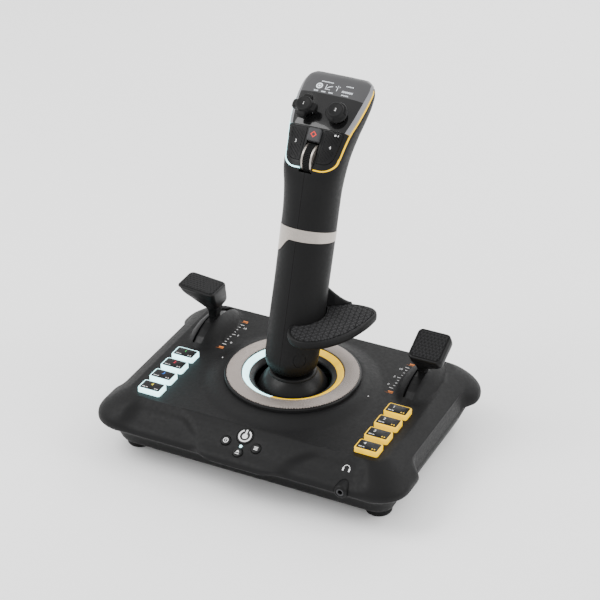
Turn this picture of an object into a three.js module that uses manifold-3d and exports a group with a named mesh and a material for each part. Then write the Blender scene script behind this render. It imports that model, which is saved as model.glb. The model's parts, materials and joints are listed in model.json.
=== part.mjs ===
// Flight joystick: a desk base with a tilting, twisting stick, two throttle levers and eight keys.
// Millimetres, +X to the user's right, +Y away from the user, +Z up.
// The origin is on the flat underside of the base, straight below the stick's pivot.
import * as THREE from 'three';
import { mergeVertices } from 'three/addons/utils/BufferGeometryUtils.js';
import { ConvexGeometry } from 'three/addons/geometries/ConvexGeometry.js';
import Module from 'manifold-3d';

const wasm = await Module();
wasm.setup();

// ---------- driving dimensions ----------
const GAP = 0.3; // clearance between neighbouring pieces
const WALL = 2.6; // moulded shell thickness
const PLATE_Z = 44.6; // flat top of the base
const SPLIT_Z = 22; // where the two base covers meet
const PIVOT_Z = 29.7; // stick pivot height
const LEAN = THREE.MathUtils.degToRad(16.4); // forward lean of the grip
const RING = { outer: 54.4, face: 53, inner: 40.6, foot: 49.9, top: 53.3 };
const DOME = { radius: 30.7, wall: 1.5, from: 38, to: 70 }; // polar angles in degrees
const NECK_R = 11.9;
const KEY = { x: 93.5, wide: 19.25, deep: 13, back: -0.3, pitch: 18.16, top: 48.6, bottom: 42.4 };
const POD = { x: 93.3, y: 41.5, slotWide: 8.6, slotHalf: 30, top: 56.7 };
const AXLE = { z: 9.5, radius: 2.5, half: 8 };
const DRUM = { radius: 45.5, wall: 2.5, halfAngle: 0.68, wide: 7.4 };
const FOOT = { x: 104.3, front: -64.2, rear: 60, radius: 10.5, height: 5 };
const PALM_Z = 105;

// ---------- materials ----------
const finishes = {
  plastic: [0x1c1c1d, 0.55, 0], rubber: [0x161617, 0.85, 0], gloss: [0x141416, 0.12, 0],
  silver: [0xb8aca2, 0.35, 0.9], cyan: [0xd8fbff, 0.4, 0], amber: [0xffc04a, 0.4, 0],
  steel: [0x8a8d90, 0.4, 0.9], board: [0x1d4a2c, 0.6, 0], grey: [0x4a4a4c, 0.5, 0],
};
const material = Object.fromEntries(Object.entries(finishes).map(([name, [color, roughness, metalness]]) =>
  [name, () => new THREE.MeshStandardMaterial({ name, color, roughness, metalness })]));

// ---------- solids ----------
function solid(geometry) {
  const bare = new THREE.BufferGeometry();
  bare.setAttribute('position', geometry.getAttribute('position').clone());
  if (geometry.index) bare.setIndex(geometry.index.clone());
  const merged = mergeVertices(bare, 1e-4);
  const position = merged.getAttribute('position').array;
  const triangles = [];
  let volume = 0;
  for (let i = 0; i < merged.index.count; i += 3) {
    const [a, b, c] = [0, 1, 2].map((k) => merged.index.getX(i + k));
    if (a === b || b === c || c === a) continue;
    triangles.push([a, b, c]);
    const [p, q, r] = [a, b, c].map((k) => new THREE.Vector3().fromArray(position, 3 * k));
    volume += p.dot(q.cross(r));
  }
  if (volume < 0) triangles.forEach((t) => t.reverse());
  return new wasm.Manifold(new wasm.Mesh({
    numProp: 3, vertProperties: new Float32Array(position), triVerts: new Uint32Array(triangles.flat()),
  }));
}

function geometryOf(piece) {
  const mesh = piece.getMesh();
  const geometry = new THREE.BufferGeometry();
  geometry.setAttribute('position', new THREE.BufferAttribute(new Float32Array(mesh.vertProperties), 3));
  geometry.setIndex(new THREE.BufferAttribute(new Uint32Array(mesh.triVerts), 1));
  return mergeVertices(geometry, 1e-4);
}

const box = (wide, deep, high, x, y, z) =>
  solid(new THREE.BoxGeometry(wide, deep, high).translate(x, y, z));

// A cylinder along X, Y or Z from its low end.
function rod(radius, length, axis, x, y, z, sides = 20) {
  const geometry = new THREE.CylinderGeometry(radius, radius, length, sides).translate(0, length / 2, 0);
  if (axis === 'z') geometry.rotateX(Math.PI / 2);
  if (axis === 'x') geometry.rotateZ(-Math.PI / 2);
  return solid(geometry.translate(x, y, z));
}

// A closed [radius, height] profile turned about the Z axis.
function turned(profile, sides = 48) {
  const points = profile.map(([r, z]) => new THREE.Vector2(r, z));
  return solid(new THREE.LatheGeometry([...points, points[0]], sides).rotateX(Math.PI / 2));
}

// A flat outline of [a, b] points, extruded.
function slab(points, depth, bevel = 0) {
  const shape = new THREE.Shape(points.map(([a, b]) => new THREE.Vector2(a, b)));
  return new THREE.ExtrudeGeometry(shape, {
    depth, steps: 1, curveSegments: 6, bevelEnabled: bevel > 0, bevelSize: bevel, bevelThickness: bevel,
    bevelSegments: 1, bevelOffset: -bevel,
  });
}

// An outline in the YZ plane, extruded along X and centred on x.
function sideCut(points, wide, x = 0) {
  const basis = new THREE.Matrix4().makeBasis(
    new THREE.Vector3(0, 1, 0), new THREE.Vector3(0, 0, 1), new THREE.Vector3(1, 0, 0));
  return solid(slab(points, wide).applyMatrix4(basis).translate(x - wide / 2, 0, 0));
}

// A loft through closed loops of the same number of points, with flat fans at both ends.
function loft(loops) {
  const count = loops[0].length;
  const centre = (loop) => loop.reduce((sum, p) => sum.add(p), new THREE.Vector3()).divideScalar(count);
  const points = [...loops.flat(), centre(loops[0]), centre(loops.at(-1))];
  const index = [];
  for (let row = 0; row < loops.length - 1; row++) {
    for (let i = 0; i < count; i++) {
      const [a, b] = [row * count + i, row * count + (i + 1) % count];
      index.push(a, b, b + count, a, b + count, a + count);
    }
  }
  const last = (loops.length - 1) * count;
  for (let i = 0; i < count; i++) {
    const next = (i + 1) % count;
    index.push(points.length - 2, next, i, points.length - 1, last + i, last + next);
  }
  const geometry = new THREE.BufferGeometry().setFromPoints(points);
  geometry.setIndex(index);
  return solid(geometry);
}

// A rounded rectangle loop at height z; its front and its sides can take shapes of their own.
function roundedLoop(halfWide, front, back, radius, z, options = {}) {
  const { frontSteps = 1, sideSteps = 1, cornerSteps = 4, frontMove = () => 0, sideMove = () => 0 } = options;
  const loop = [];
  const corner = (x, y, from) => {
    for (let i = 0; i <= cornerSteps; i++) {
      const angle = from + (i / cornerSteps) * Math.PI / 2;
      loop.push(new THREE.Vector3(x + radius * Math.cos(angle), y + radius * Math.sin(angle), z));
    }
  };
  corner(-halfWide + radius, front + radius, Math.PI);
  for (let i = 1; i < frontSteps; i++) {
    const x = (i / frontSteps * 2 - 1) * (halfWide - radius);
    loop.push(new THREE.Vector3(x, front + frontMove(x), z));
  }
  corner(halfWide - radius, front + radius, -Math.PI / 2);
  const rise = (i) => THREE.MathUtils.lerp(front + radius, back - radius, i / sideSteps);
  for (let i = 1; i < sideSteps; i++) loop.push(new THREE.Vector3(halfWide - sideMove(rise(i)), rise(i), z));
  corner(halfWide - radius, back - radius, 0);
  corner(-halfWide + radius, back - radius, Math.PI / 2);
  for (let i = sideSteps - 1; i > 0; i--) {
    loop.push(new THREE.Vector3(sideMove(rise(i)) - halfWide, rise(i), z));
  }
  return loop;
}

const meshes = [];
function add(name, finish, piece) {
  const mesh = new THREE.Mesh(geometryOf(piece), material[finish]());
  mesh.name = name;
  meshes.push(mesh);
}

const union = (...pieces) => pieces.reduce((sum, piece) => sum.add(piece));
const sides = [['left', -1], ['right', 1]];

// ---------- base covers ----------
// Levels of the top cover's skin: height, half width, front, back, corner radius, tongue, scoop.
// The tongue level pushes the middle of the front out; the scoop level hollows both sides of it.
const COVER_LEVELS = [
  { z: SPLIT_Z, half: 127, front: -92.5, back: 84.5, radius: 22, tongue: -3, scoop: 0 },
  { z: 23.5, half: 131.3, front: -95.4, back: 88.3, radius: 24, tongue: -4.2, scoop: 0 },
  { z: 26, half: 133.2, front: -97.6, back: 90, radius: 25, tongue: -5, scoop: 0 },
  { z: 29.5, half: 133, front: -97, back: 90, radius: 25, tongue: -4, scoop: 1.5 },
  { z: 33, half: 130.5, front: -94.5, back: 89, radius: 24, tongue: 1, scoop: 5.5 },
  { z: 37, half: 125.5, front: -89.5, back: 86.5, radius: 21, tongue: 2.2, scoop: 7 },
  { z: 41, half: 119, front: -82.5, back: 83, radius: 17, tongue: 1.6, scoop: 4.5 },
  { z: PLATE_Z, half: 111.5, front: -73.5, back: 78.5, radius: 13, tongue: 0, scoop: 0 },
];

const smooth = (t) => THREE.MathUtils.smoothstep(t, 0, 1);

// How far the front edge moves at x: the middle follows the tongue, the sides follow the scoops.
function frontShape(level) {
  const tongueHalf = THREE.MathUtils.mapLinear(level.z, 26, PLATE_Z, 30, 59);
  return (x) => {
    const inTongue = 1 - smooth((Math.abs(x) - tongueHalf + 5) / 10);
    const nearCorner = smooth((Math.abs(x) - 92) / 14);
    return level.tongue * inTongue + level.scoop * (1 - inTongue) * (1 - nearCorner);
  };
}

// How far the sides draw in between the corners, which stand out as lobes.
const WAIST = { half: 123.5, middle: 3, reach: 46, blend: 14 };
const waistShape = (level) => (y) => Math.max(level.half - (level.waist ?? WAIST.half), 0)
  * (1 - smooth((Math.abs(y - WAIST.middle) - WAIST.reach) / WAIST.blend));

const coverLoop = (level, inset, z) => roundedLoop(level.half - inset, level.front + inset,
  level.back - inset, level.radius - inset, z,
  { frontSteps: 22, sideSteps: 8, frontMove: frontShape(level), sideMove: waistShape(level) });

function slopeFrame(x, y, z) {
  // Local Z points out of the sloping tongue of the front face.
  const down = new THREE.Vector3(0, -0.87, -0.494);
  const out = new THREE.Vector3(0, -0.494, 0.87);
  const across = new THREE.Vector3().crossVectors(down, out);
  return new THREE.Matrix4().makeBasis(across, down, out).setPosition(x, y, z);
}

const slopeZ = (y) => PLATE_Z + (y + 73.5) * 0.494 / 0.87;
const FACE_BUTTONS = [
  { name: 'home_button', x: -0.9, y: -80.8, radius: 6.7 },
  { name: 'left_menu_button', x: -14.2, y: -87.4, radius: 4 },
  { name: 'right_menu_button', x: 11.6, y: -87.4, radius: 4 },
  { name: 'lower_menu_button', x: -1.2, y: -93.4, radius: 4 },
];
const LED = { x: -1.1, y: -88.4, radius: 1.2 };
const JACK = { x: 87.2, z: 27.5, boss: 5.6, hole: 1.8 };
const USB = { x: 0, face: 81, z: 15, wide: 12.4, high: 7.4 };

function slopeRod(radius, x, y, from, to, sideCount = 20) {
  const geometry = new THREE.CylinderGeometry(radius, radius, to - from, sideCount)
    .rotateX(Math.PI / 2).translate(0, 0, (from + to) / 2);
  return solid(geometry.applyMatrix4(slopeFrame(x, y, slopeZ(y))));
}

function keyBlock(side, row, grow, bottom, top) {
  const [w, d] = [KEY.wide / 2 + grow, KEY.deep / 2 + grow];
  const y = KEY.back - KEY.deep / 2 - row * KEY.pitch;
  const loop = (z, inset) => roundedLoop(w - inset, -d + inset, d - inset, 1.6, z, { cornerSteps: 2 })
    .map((p) => p.add(new THREE.Vector3(side * KEY.x, y, 0)));
  return loft([loop(bottom, 0), loop(top, 0)]);
}

function podHump(side) {
  const geometry = new THREE.SphereGeometry(1, 20, 12).rotateX(Math.PI / 2).scale(16.5, 35.5, 18.6);
  return solid(geometry.translate(side * (POD.x - 1), POD.y, POD.top - 18.6));
}

function topCover() {
  const outer = loft(COVER_LEVELS.map((level) => coverLoop(level, 0, level.z)));
  const [rim, , , , shoulder, , , top] = COVER_LEVELS;
  const inner = loft([coverLoop(rim, WALL, SPLIT_Z - 5), coverLoop(rim, WALL, rim.z + 3),
    coverLoop(shoulder, 2 * WALL, shoulder.z - 2), coverLoop(top, 2 * WALL, PLATE_Z - WALL)]);
  const mound = turned([[0, PLATE_Z - 2], [75, PLATE_Z - 2], [75, PLATE_Z - 0.2], [64, PLATE_Z + 2.4],
    [58.5, PLATE_Z + 4.4], [55.4, PLATE_Z + 5], [0, PLATE_Z + 5]], 48);
  let cover = outer.add(mound);
  for (const [, side] of sides) cover = cover.add(podHump(side));
  cover = cover.subtract(inner);
  cover = cover.subtract(turned([[0, 0], [46, 0], [46, PLATE_Z], [41, PLATE_Z + 1], [41, 70], [0, 70]], 48));
  for (const [, side] of sides) {
    cover = cover.subtract(box(POD.slotWide, 2 * POD.slotHalf, 40, side * POD.x, POD.y, 50));
    cover = cover.subtract(box(13, 40, 18.5, side * POD.x, POD.y, 39.75));
    const drum = [DRUM.radius + 0.5, DRUM.wide + 0.8];
    cover = cover.subtract(rod(...drum, 'x', side * POD.x - drum[1] / 2, POD.y, AXLE.z, 72));
    for (let row = 0; row < 4; row++) cover = cover.subtract(keyBlock(side, row, 0.4, 36, 60));
  }
  for (const b of FACE_BUTTONS) cover = cover.subtract(slopeRod(b.radius + 0.35, b.x, b.y, -14, 8));
  cover = cover.subtract(slopeRod(LED.radius + 0.3, LED.x, LED.y, -14, 8, 12));
  return cover.subtract(rod(JACK.boss + GAP, 22, 'y', JACK.x, -106, JACK.z));
}

// The lower cover draws in towards the feet; between the corners its sides are flatter near the top.
const LOWER_LEVELS = [
  { z: 0, half: 115.5, front: -76.2, back: 72, radius: 12 },
  { z: 3, half: 117, front: -79.2, back: 74.5, radius: 13.5 },
  { z: 14, half: 121.8, front: -84.5, back: 79, radius: 17 },
  { z: SPLIT_Z - GAP, half: 125.5, front: -90, back: 83, radius: 20.5, waist: 121 },
];

function bottomCover() {
  const loop = (level, inset, z) => roundedLoop(level.half - inset, level.front + inset, level.back - inset,
    level.radius - inset, z, { frontSteps: 4, sideSteps: 8, sideMove: waistShape(level) });
  const outer = loft(LOWER_LEVELS.map((level) => loop(level, 0, level.z)));
  const inner = loft([loop(LOWER_LEVELS[0], WALL, 2.6), loop(LOWER_LEVELS[1], WALL, 4),
    loop(LOWER_LEVELS[2], WALL, 14), loop(LOWER_LEVELS[3], WALL, SPLIT_Z + 5)]);
  let cover = outer.subtract(inner);
  for (const [x, y] of footPlaces()) cover = cover.subtract(rod(FOOT.radius + GAP, 2, 'z', x, y, -1));
  return cover.subtract(box(USB.wide + 2 * GAP, 20, USB.high + 2 * GAP, USB.x, USB.face, USB.z));
}

const footPlaces = () => sides.flatMap(([, side]) =>
  [[side * FOOT.x, FOOT.front], [side * (FOOT.x - 2), FOOT.rear]]);

add('base_top_cover', 'plastic', topCover());
add('base_bottom_cover', 'plastic', bottomCover());
footPlaces().forEach(([x, y], i) => {
  const name = `${['left', 'left', 'right', 'right'][i]}_${['front', 'rear'][i % 2]}_foot`;
  const foot = turned([[0, -FOOT.height], [FOOT.radius - 1, -FOOT.height], [FOOT.radius, 1 - FOOT.height],
    [FOOT.radius, 0.7], [0, 0.7]], 20);
  add(name, 'rubber', foot.translate([x, y, 0]));
});

// ---------- base trim, sockets and electronics ----------
function usbSocket() {
  const body = box(USB.wide, 14, USB.high, USB.x, USB.face - 7, USB.z);
  const mouth = box(9, 8, 3.4, USB.x, USB.face - 2, USB.z);
  return body.subtract(mouth);
}

add('ring_bezel', 'silver', turned([[RING.inner, RING.foot], [RING.outer, RING.foot],
  [RING.outer, RING.top - 0.7], [RING.face, RING.top], [RING.inner + 0.7, RING.top],
  [RING.inner, RING.top - 0.7]], 48));
const lightRing = turned([[40.2, 52.4], [35.1, 50], [35.1, 48.4], [40.2, 48.4]], 40);
for (const [name, side] of sides) {
  const half = box(60, 120, 20, side * (30 + GAP / 2), 0, 50);
  add(`light_ring_${name}`, side < 0 ? 'cyan' : 'amber', lightRing.intersect(half));
}
add('well_funnel', 'plastic', turned([[34.7, 50], [30.2, 46.9], [31.2, 43], [34, 40.6], [40.4, 40.6],
  [40.4, 48.1], [34.7, 48.1]], 36));
for (const [name, side] of sides) {
  for (let row = 0; row < 4; row++) {
    add(`${name}_key_${row + 1}`, side < 0 ? 'cyan' : 'amber', keyBlock(side, row, 0, KEY.bottom, KEY.top));
  }
}
for (const b of FACE_BUTTONS) add(b.name, 'plastic', slopeRod(b.radius, b.x, b.y, -4.5, 1.1));
add('status_led', 'cyan', slopeRod(LED.radius, LED.x, LED.y, -3, 0.3, 12));
add('headset_jack', 'grey', rod(JACK.boss, 12, 'y', JACK.x, -99, JACK.z)
  .subtract(rod(JACK.hole, 20, 'y', JACK.x, -102, JACK.z, 20)));
add('usb_socket', 'steel', usbSocket());
add('main_board', 'board', box(100, 30, 1.6, 0, 53, 8));

// ---------- stick gimbal ----------
function gimbalHousing() {
  let housing = box(66, 44, 3, 0, 0, 4.4);
  for (const [, side] of sides) {
    housing = housing.add(box(4, 12, 28, side * 24.2, 0, 19.5));
  }
  return housing.subtract(rod(2.8, 80, 'x', -40, 0, PIVOT_Z));
}

function pitchFrame() {
  const frame = box(42, 34, 9, 0, 0, PIVOT_Z).subtract(box(32, 24, 20, 0, 0, PIVOT_Z))
    .subtract(rod(2.8, 60, 'y', 0, -30, PIVOT_Z));
  return union(frame, rod(2.5, 7, 'x', 20.5, 0, PIVOT_Z), rod(2.5, 7, 'x', -27.5, 0, PIVOT_Z));
}

function rollCradle() {
  return union(box(22, 20, 10, 0, 0, PIVOT_Z), rod(2.5, 8, 'y', 0, 9, PIVOT_Z),
    rod(2.5, 8, 'y', 0, -17, PIVOT_Z), rod(7, 44, 'z', 0, 0, PIVOT_Z));
}

// The dust dome is a band of a ball about the pivot, hung from the collar on the neck.
function dustDome() {
  const arc = (radius, from, to) => Array.from({ length: 5 }, (_, i) => {
    const angle = THREE.MathUtils.degToRad(from + (to - from) * i / 4);
    return [radius * Math.sin(angle), PIVOT_Z + radius * Math.cos(angle)];
  });
  const inside = arc(DOME.radius - DOME.wall, DOME.to, DOME.from);
  return turned([...arc(DOME.radius, DOME.from, DOME.to), ...inside], 32);
}

add('gimbal_housing', 'steel', gimbalHousing());
add('gimbal_pitch_frame', 'steel', pitchFrame());
add('gimbal_roll_cradle', 'steel', rollCradle());
add('dust_dome', 'plastic', dustDome());
add('dome_collar', 'plastic', turned([[12.2, 53], [17.8, 53], [17.8, 54.2], [19.2, 54.2], [18.6, 56.4],
  [12.2, 56.4]], 32));

// ---------- throttle levers ----------
function throttleArm(side) {
  const polar = (radius, angle) => [POD.y + radius * Math.sin(angle), AXLE.z + radius * Math.cos(angle)];
  const arc = (radius, from, to) => Array.from({ length: 9 }, (_, i) =>
    polar(radius, from + (to - from) * i / 8));
  const { radius, wall, halfAngle, wide } = DRUM;
  const drum = sideCut([...arc(radius, -halfAngle, halfAngle), ...arc(radius - wall, halfAngle, -halfAngle)],
    wide, side * POD.x);
  const web = sideCut([[POD.y - 5, AXLE.z], [POD.y + 5, AXLE.z], polar(radius - 1, 0.2),
    polar(radius - 1, -0.2)], 4, side * POD.x);
  const stem = box(5.3, 9, 22, side * POD.x, POD.y + 2, 54);
  const hub = rod(5.2, 7, 'x', side * POD.x - 3.5, POD.y, AXLE.z);
  const bore = rod(AXLE.radius + GAP, 30, 'x', side * POD.x - 15, POD.y, AXLE.z);
  return union(drum, web, stem, hub).subtract(bore);
}

// A lever head is a loft of rounded rectangles; each level has a centre, a size and a tilt.
function headLoop({ x, y, z, wide, deep, radius, roll = 0, pitch = 0 }) {
  const turn = new THREE.Matrix4().makeRotationFromEuler(new THREE.Euler(pitch, roll, 0));
  return roundedLoop(wide / 2, -deep / 2, deep / 2, radius, 0)
    .map((p) => p.applyMatrix4(turn).add(new THREE.Vector3(x, y, z)));
}

const LEFT_HEAD = [
  { x: -93.3, y: 43.5, z: 58, wide: 7, deep: 11, radius: 2 },
  { x: -92.6, y: 42.5, z: 65, wide: 9, deep: 13, radius: 2.5 },
  { x: -91.4, y: 39.5, z: 72, wide: 15, deep: 19, radius: 3, roll: 0.04 },
  { x: -94, y: 35.8, z: 79.5, wide: 23, deep: 23, radius: 3.5, roll: 0.1 },
  { x: -97.8, y: 33.8, z: 86, wide: 31, deep: 25, radius: 4, roll: 0.1 },
  { x: -98.8, y: 33, z: 90.6, wide: 33, deep: 25.5, radius: 4, roll: 0.09 },
];
const RIGHT_HEAD = [
  { x: 93.3, y: 43.5, z: 58, wide: 7, deep: 11, radius: 2 },
  { x: 95, y: 41.5, z: 64, wide: 10, deep: 15, radius: 2.5, pitch: 0.2 },
  { x: 99.8, y: 38, z: 73, wide: 20, deep: 21.5, radius: 3, pitch: 0.35 },
  { x: 102.8, y: 35, z: 80.6, wide: 27.5, deep: 26.5, radius: 3.5, pitch: 0.43 },
  { x: 101.8, y: 33, z: 86.4, wide: 27.5, deep: 28, radius: 4, pitch: 0.47 },
];
const PAD_SINK = 0.8;

// A pad lies in a shallow recess of its head, a little smaller than the head's last level.
function padLoops(top, inset, from, to) {
  const turn = new THREE.Euler(top.pitch ?? 0, top.roll ?? 0, 0);
  const out = new THREE.Vector3(0, 0, 1).applyEuler(turn);
  return [from, to].map((height) => headLoop({ ...top, wide: top.wide - inset, deep: top.deep - inset,
    x: top.x + out.x * height, y: top.y + out.y * height, z: top.z + out.z * height }));
}

function throttle(name, side, levels) {
  const top = levels.at(-1);
  const stemHole = box(5.9, 9.6, 24, side * POD.x, POD.y + 2, 53.3);
  const head = loft(levels.map(headLoop)).subtract(loft(padLoops(top, 3, -PAD_SINK, 5))).subtract(stemHole);
  add(`throttle_arm_${name}`, 'plastic', throttleArm(side));
  add(`throttle_head_${name}`, 'plastic', head);
  add(`throttle_pad_${name}`, 'rubber', loft(padLoops(top, 3.8, GAP - PAD_SINK, 0.6)));
  const start = side * POD.x - AXLE.half;
  add(`throttle_axle_${name}`, 'steel', rod(AXLE.radius, 2 * AXLE.half, 'x', start, POD.y, AXLE.z));
}

throttle('left', -1, LEFT_HEAD);
throttle('right', 1, RIGHT_HEAD);

// ---------- grip ----------
// Stations up the grip: its front point and back point as [y, z], the half width, where the widest
// line lies between them, and the squareness of the front and of the back.
const GRIP_STATIONS = [
  { f: [-12.6, 57.2], b: [12.6, 57.2], half: 12.6, mid: 0.5, sf: 2, sb: 2 },
  { f: [-17.3, 58.6], b: [16.3, 58.6], half: 16.8, mid: 0.5, sf: 2, sb: 2 },
  { f: [-21.3, 63], b: [18.6, 61.5], half: 19.8, mid: 0.5, sf: 2, sb: 2 },
  { f: [-23.3, 70], b: [19.6, 66], half: 20.9, mid: 0.5, sf: 2, sb: 2 },
  { f: [-19.4, 85.3], b: [21.9, 73.1], half: 21.4, mid: 0.5, sf: 2, sb: 2 },
  { f: [-4, 137.7], b: [37.8, 125.4], half: 21.5, mid: 0.5, sf: 2, sb: 2 },
  { f: [6, 171.7], b: [48, 159.4], half: 21.7, mid: 0.5, sf: 2, sb: 2 },
  { f: [12.5, 194], b: [53.8, 181.8], half: 21.9, mid: 0.5, sf: 2.1, sb: 2 },
  { f: [16.5, 207.5], b: [57, 195.5], half: 22.6, mid: 0.48, sf: 2.3, sb: 2 },
  { f: [20.8, 220.5], b: [60.6, 206], half: 23.8, mid: 0.46, sf: 2.8, sb: 2 },
  { f: [31.6, 234.4], b: [66, 218], half: 25, mid: 0.42, sf: 3.2, sb: 2.1 },
  { f: [42.4, 248.3], b: [73.5, 229.5], half: 27.4, mid: 0.4, sf: 3.3, sb: 2.1 },
  { f: [54, 257], b: [81, 240.5], half: 29.4, mid: 0.4, sf: 3.3, sb: 2.1 },
  { f: [68, 266], b: [88, 251], half: 30, mid: 0.42, sf: 3.4, sb: 2.2 },
  { f: [77.5, 271], b: [91.5, 259], half: 28.8, mid: 0.44, sf: 3.4, sb: 2.4 },
  { f: [82.5, 273.2], b: [92.3, 265.5], half: 26, mid: 0.46, sf: 3.2, sb: 2.6 },
  { f: [86.5, 273.4], b: [91, 270], half: 22, mid: 0.5, sf: 3, sb: 3 },
];
const GRIP_SIDES = 26;

// The grip's whole outer form, drawn in by an inset (or grown by a negative one).
function gripForm(inset) {
  const rounded = (value, squareness) => Math.sign(value) * Math.abs(value) ** (2 / squareness);
  const loops = GRIP_STATIONS.map(({ f, b, half, mid, sf, sb }, row) => {
    const front = new THREE.Vector2(...f);
    const depth = new THREE.Vector2(...b).sub(front);
    const length = depth.length();
    const along = depth.clone().divideScalar(length);
    const up = new THREE.Vector2(-along.y, along.x);
    const end = row === 0 ? inset : row === GRIP_STATIONS.length - 1 ? -inset : 0;
    return Array.from({ length: GRIP_SIDES }, (_, i) => {
      const angle = (i / GRIP_SIDES) * 2 * Math.PI;
      const square = Math.sin(angle) < 0 ? sf : sb;
      const reach = rounded(Math.sin(angle), square);
      const room = Math.max(length - 2 * inset, 0.6);
      const d = inset + room * (mid + reach * (reach < 0 ? mid : 1 - mid));
      const p = front.clone().addScaledVector(along, Math.min(d, length)).addScaledVector(up, end);
      return new THREE.Vector3((half - inset) * rounded(Math.cos(angle), square), p.x, p.y);
    });
  });
  return loft(loops);
}

const faceLine = GRIP_STATIONS.slice(9).map(({ f }) => new THREE.Vector2(...f));

// The control face as a side outline: everything in front of the face line moved in by a depth.
function faceRegion(depth, below) {
  const outward = 30;
  const inner = faceLine.map((p, i) => {
    const next = faceLine[Math.min(i + 1, faceLine.length - 1)];
    const last = faceLine[Math.max(i - 1, 0)];
    const along = next.clone().sub(last).normalize();
    return { p, along, inward: new THREE.Vector2(along.y, -along.x) };
  });
  const points = inner.map(({ p, inward }) => p.clone().addScaledVector(inward, depth));
  const outer = inner.map(({ p, inward }) => p.clone().addScaledVector(inward, -outward)).reverse();
  const foot = inner[0].along.clone().multiplyScalar(-below);
  points[0].add(foot);
  outer[outer.length - 1].add(foot);
  const head = inner.at(-1).along.clone().multiplyScalar(30);
  points.push(points.at(-1).clone().add(head));
  outer.unshift(outer[0].clone().add(head));
  return sideCut([...points, ...outer].map((p) => [p.x, p.y]), 90);
}

// A frame on the face: local X across, local Y up the face, local Z out of it.
function faceFrame(from, to, along) {
  const [p, q] = [new THREE.Vector2(...from), new THREE.Vector2(...to)];
  const direction = q.clone().sub(p).normalize();
  const at = p.clone().addScaledVector(direction, along);
  return new THREE.Matrix4().makeBasis(new THREE.Vector3(1, 0, 0),
    new THREE.Vector3(0, direction.x, direction.y), new THREE.Vector3(0, -direction.y, direction.x))
    .setPosition(0, at.x, at.y);
}

const PANEL = faceFrame(GRIP_STATIONS[9].f, GRIP_STATIONS[11].f, 0); // the lower, button part
const HATS = faceFrame(GRIP_STATIONS[11].f, GRIP_STATIONS[13].f, 0); // the upper, hat part
const PANEL_LENGTH = 35.2;
const FACE = { foot: 3.4, half: 21.4, corner: 11.5 }; // the control face ends in a U at its lower end

const onFace = (frame, geometry) => solid(geometry.applyMatrix4(frame));
const faceBlock = (frame, points, from, to) =>
  onFace(frame, slab(points, to - from).translate(0, 0, from));
const faceRod = (frame, radius, x, y, from, to, sideCount = 20) => onFace(frame,
  new THREE.CylinderGeometry(radius, radius, to - from, sideCount).rotateX(Math.PI / 2)
    .translate(x, y, (from + to) / 2));
const rectangle = (x0, y0, x1, y1) => [[x0, y0], [x1, y0], [x1, y1], [x0, y1]];

const WHEEL = { y: 12, sink: 6.6, radius: 11.9, tyre: 5.2, rim: 1.5, hub: 7.4, slot: 5.4 };
const CENTRE = { low: 23.9, high: 34.2, half: 5 };
const HAT = { x: 13.3, y: 12, hole: 5.6, stem: 3, rise: 5, top: 12 };

function buttonOutline(side, grow) {
  const outline = [[7.4 - grow, 33.8 + grow], [21.8 + grow, 33.8 + grow], [19.8 + grow, 20],
    [18.6 + grow, 14 - grow], [16 + grow, 10 - grow], [12.4 + grow, 8.2 - grow], [7.4 - grow, 8.2 - grow]];
  return outline.map(([x, y]) => [side * x, y]);
}

// The control face seen square on, grown by an amount: a U that is open towards the top.
function faceOutline(grow) {
  const { foot, half, corner } = FACE;
  const arc = (side, i) => {
    const angle = (i / 8) * Math.PI / 2;
    const reach = corner + grow;
    return [side * (half - corner + reach * Math.sin(angle)), foot + corner - reach * Math.cos(angle)];
  };
  const right = [...Array.from({ length: 9 }, (_, i) => arc(1, i)), [half + 2.6 + grow, 20],
    [50, 30], [50, 90]];
  return [...right, ...right.toReversed().map(([x, y]) => [-x, y])];
}

const form = gripForm(0);
const core = gripForm(WALL);
const rimCore = gripForm(2.2);
const wheelSlot = faceBlock(PANEL, rectangle(-WHEEL.slot, -0.6, WHEEL.slot, 24.3), -19.6, 12);
const faceRoom = (depth, grow) => faceRegion(depth, 4)
  .intersect(faceBlock(PANEL, faceOutline(grow), -30, 40));
const topPart = faceBlock(PANEL, rectangle(-50, PANEL_LENGTH + 0.2, 50, 140), -90, 90);
const lowPart = faceBlock(PANEL, rectangle(-50, -60, 50, PANEL_LENGTH - 0.2), -90, 90);

// Lower and upper edges of the silver band, as heights up the grip at an angle from the front seam.
// The lower edge drops on the left side only.
const BAND = { top: 103.6, bottom: 96.2, drop: 17, proud: 0.25, sink: 1.2 };
const gripUp = new THREE.Vector3(0, Math.sin(LEAN), Math.cos(LEAN));
const gripBack = new THREE.Vector3(0, Math.cos(LEAN), -Math.sin(LEAN));
const gripFoot = new THREE.Vector3(0, -2.65, 71.3);

function bandRegion(grow) {
  const count = 28;
  const loops = [-1, 1].map((end) => Array.from({ length: count }, (_, i) => {
    const angle = (i / count) * 2 * Math.PI;
    const leftness = smooth((-Math.sin(angle) - 0.25) / 0.62);
    const height = end < 0 ? BAND.bottom - BAND.drop * leftness - grow
      : BAND.top + 2.2 * Math.cos(angle) + grow;
    const reach = new THREE.Vector3(40 * Math.sin(angle), 0, 0);
    reach.addScaledVector(gripBack, -40 * Math.cos(angle));
    return reach.addScaledVector(gripUp, height).add(gripFoot);
  }));
  return loft(loops);
}

function gripShell(side) {
  const hole = rod(12.2, 30, 'z', 0, 0, 40, 32);
  const groove = gripForm(-1).subtract(gripForm(BAND.sink)).intersect(bandRegion(GAP));
  const half = box(80, 200, 300, side * (40 + GAP / 2), 40, 160);
  return form.subtract(core).subtract(hole).subtract(faceRoom(7, 1.9)).subtract(groove)
    .subtract(wheelSlot).subtract(box(12, 36, 24, 0, 70, 216.6)).intersect(half);
}

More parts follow.
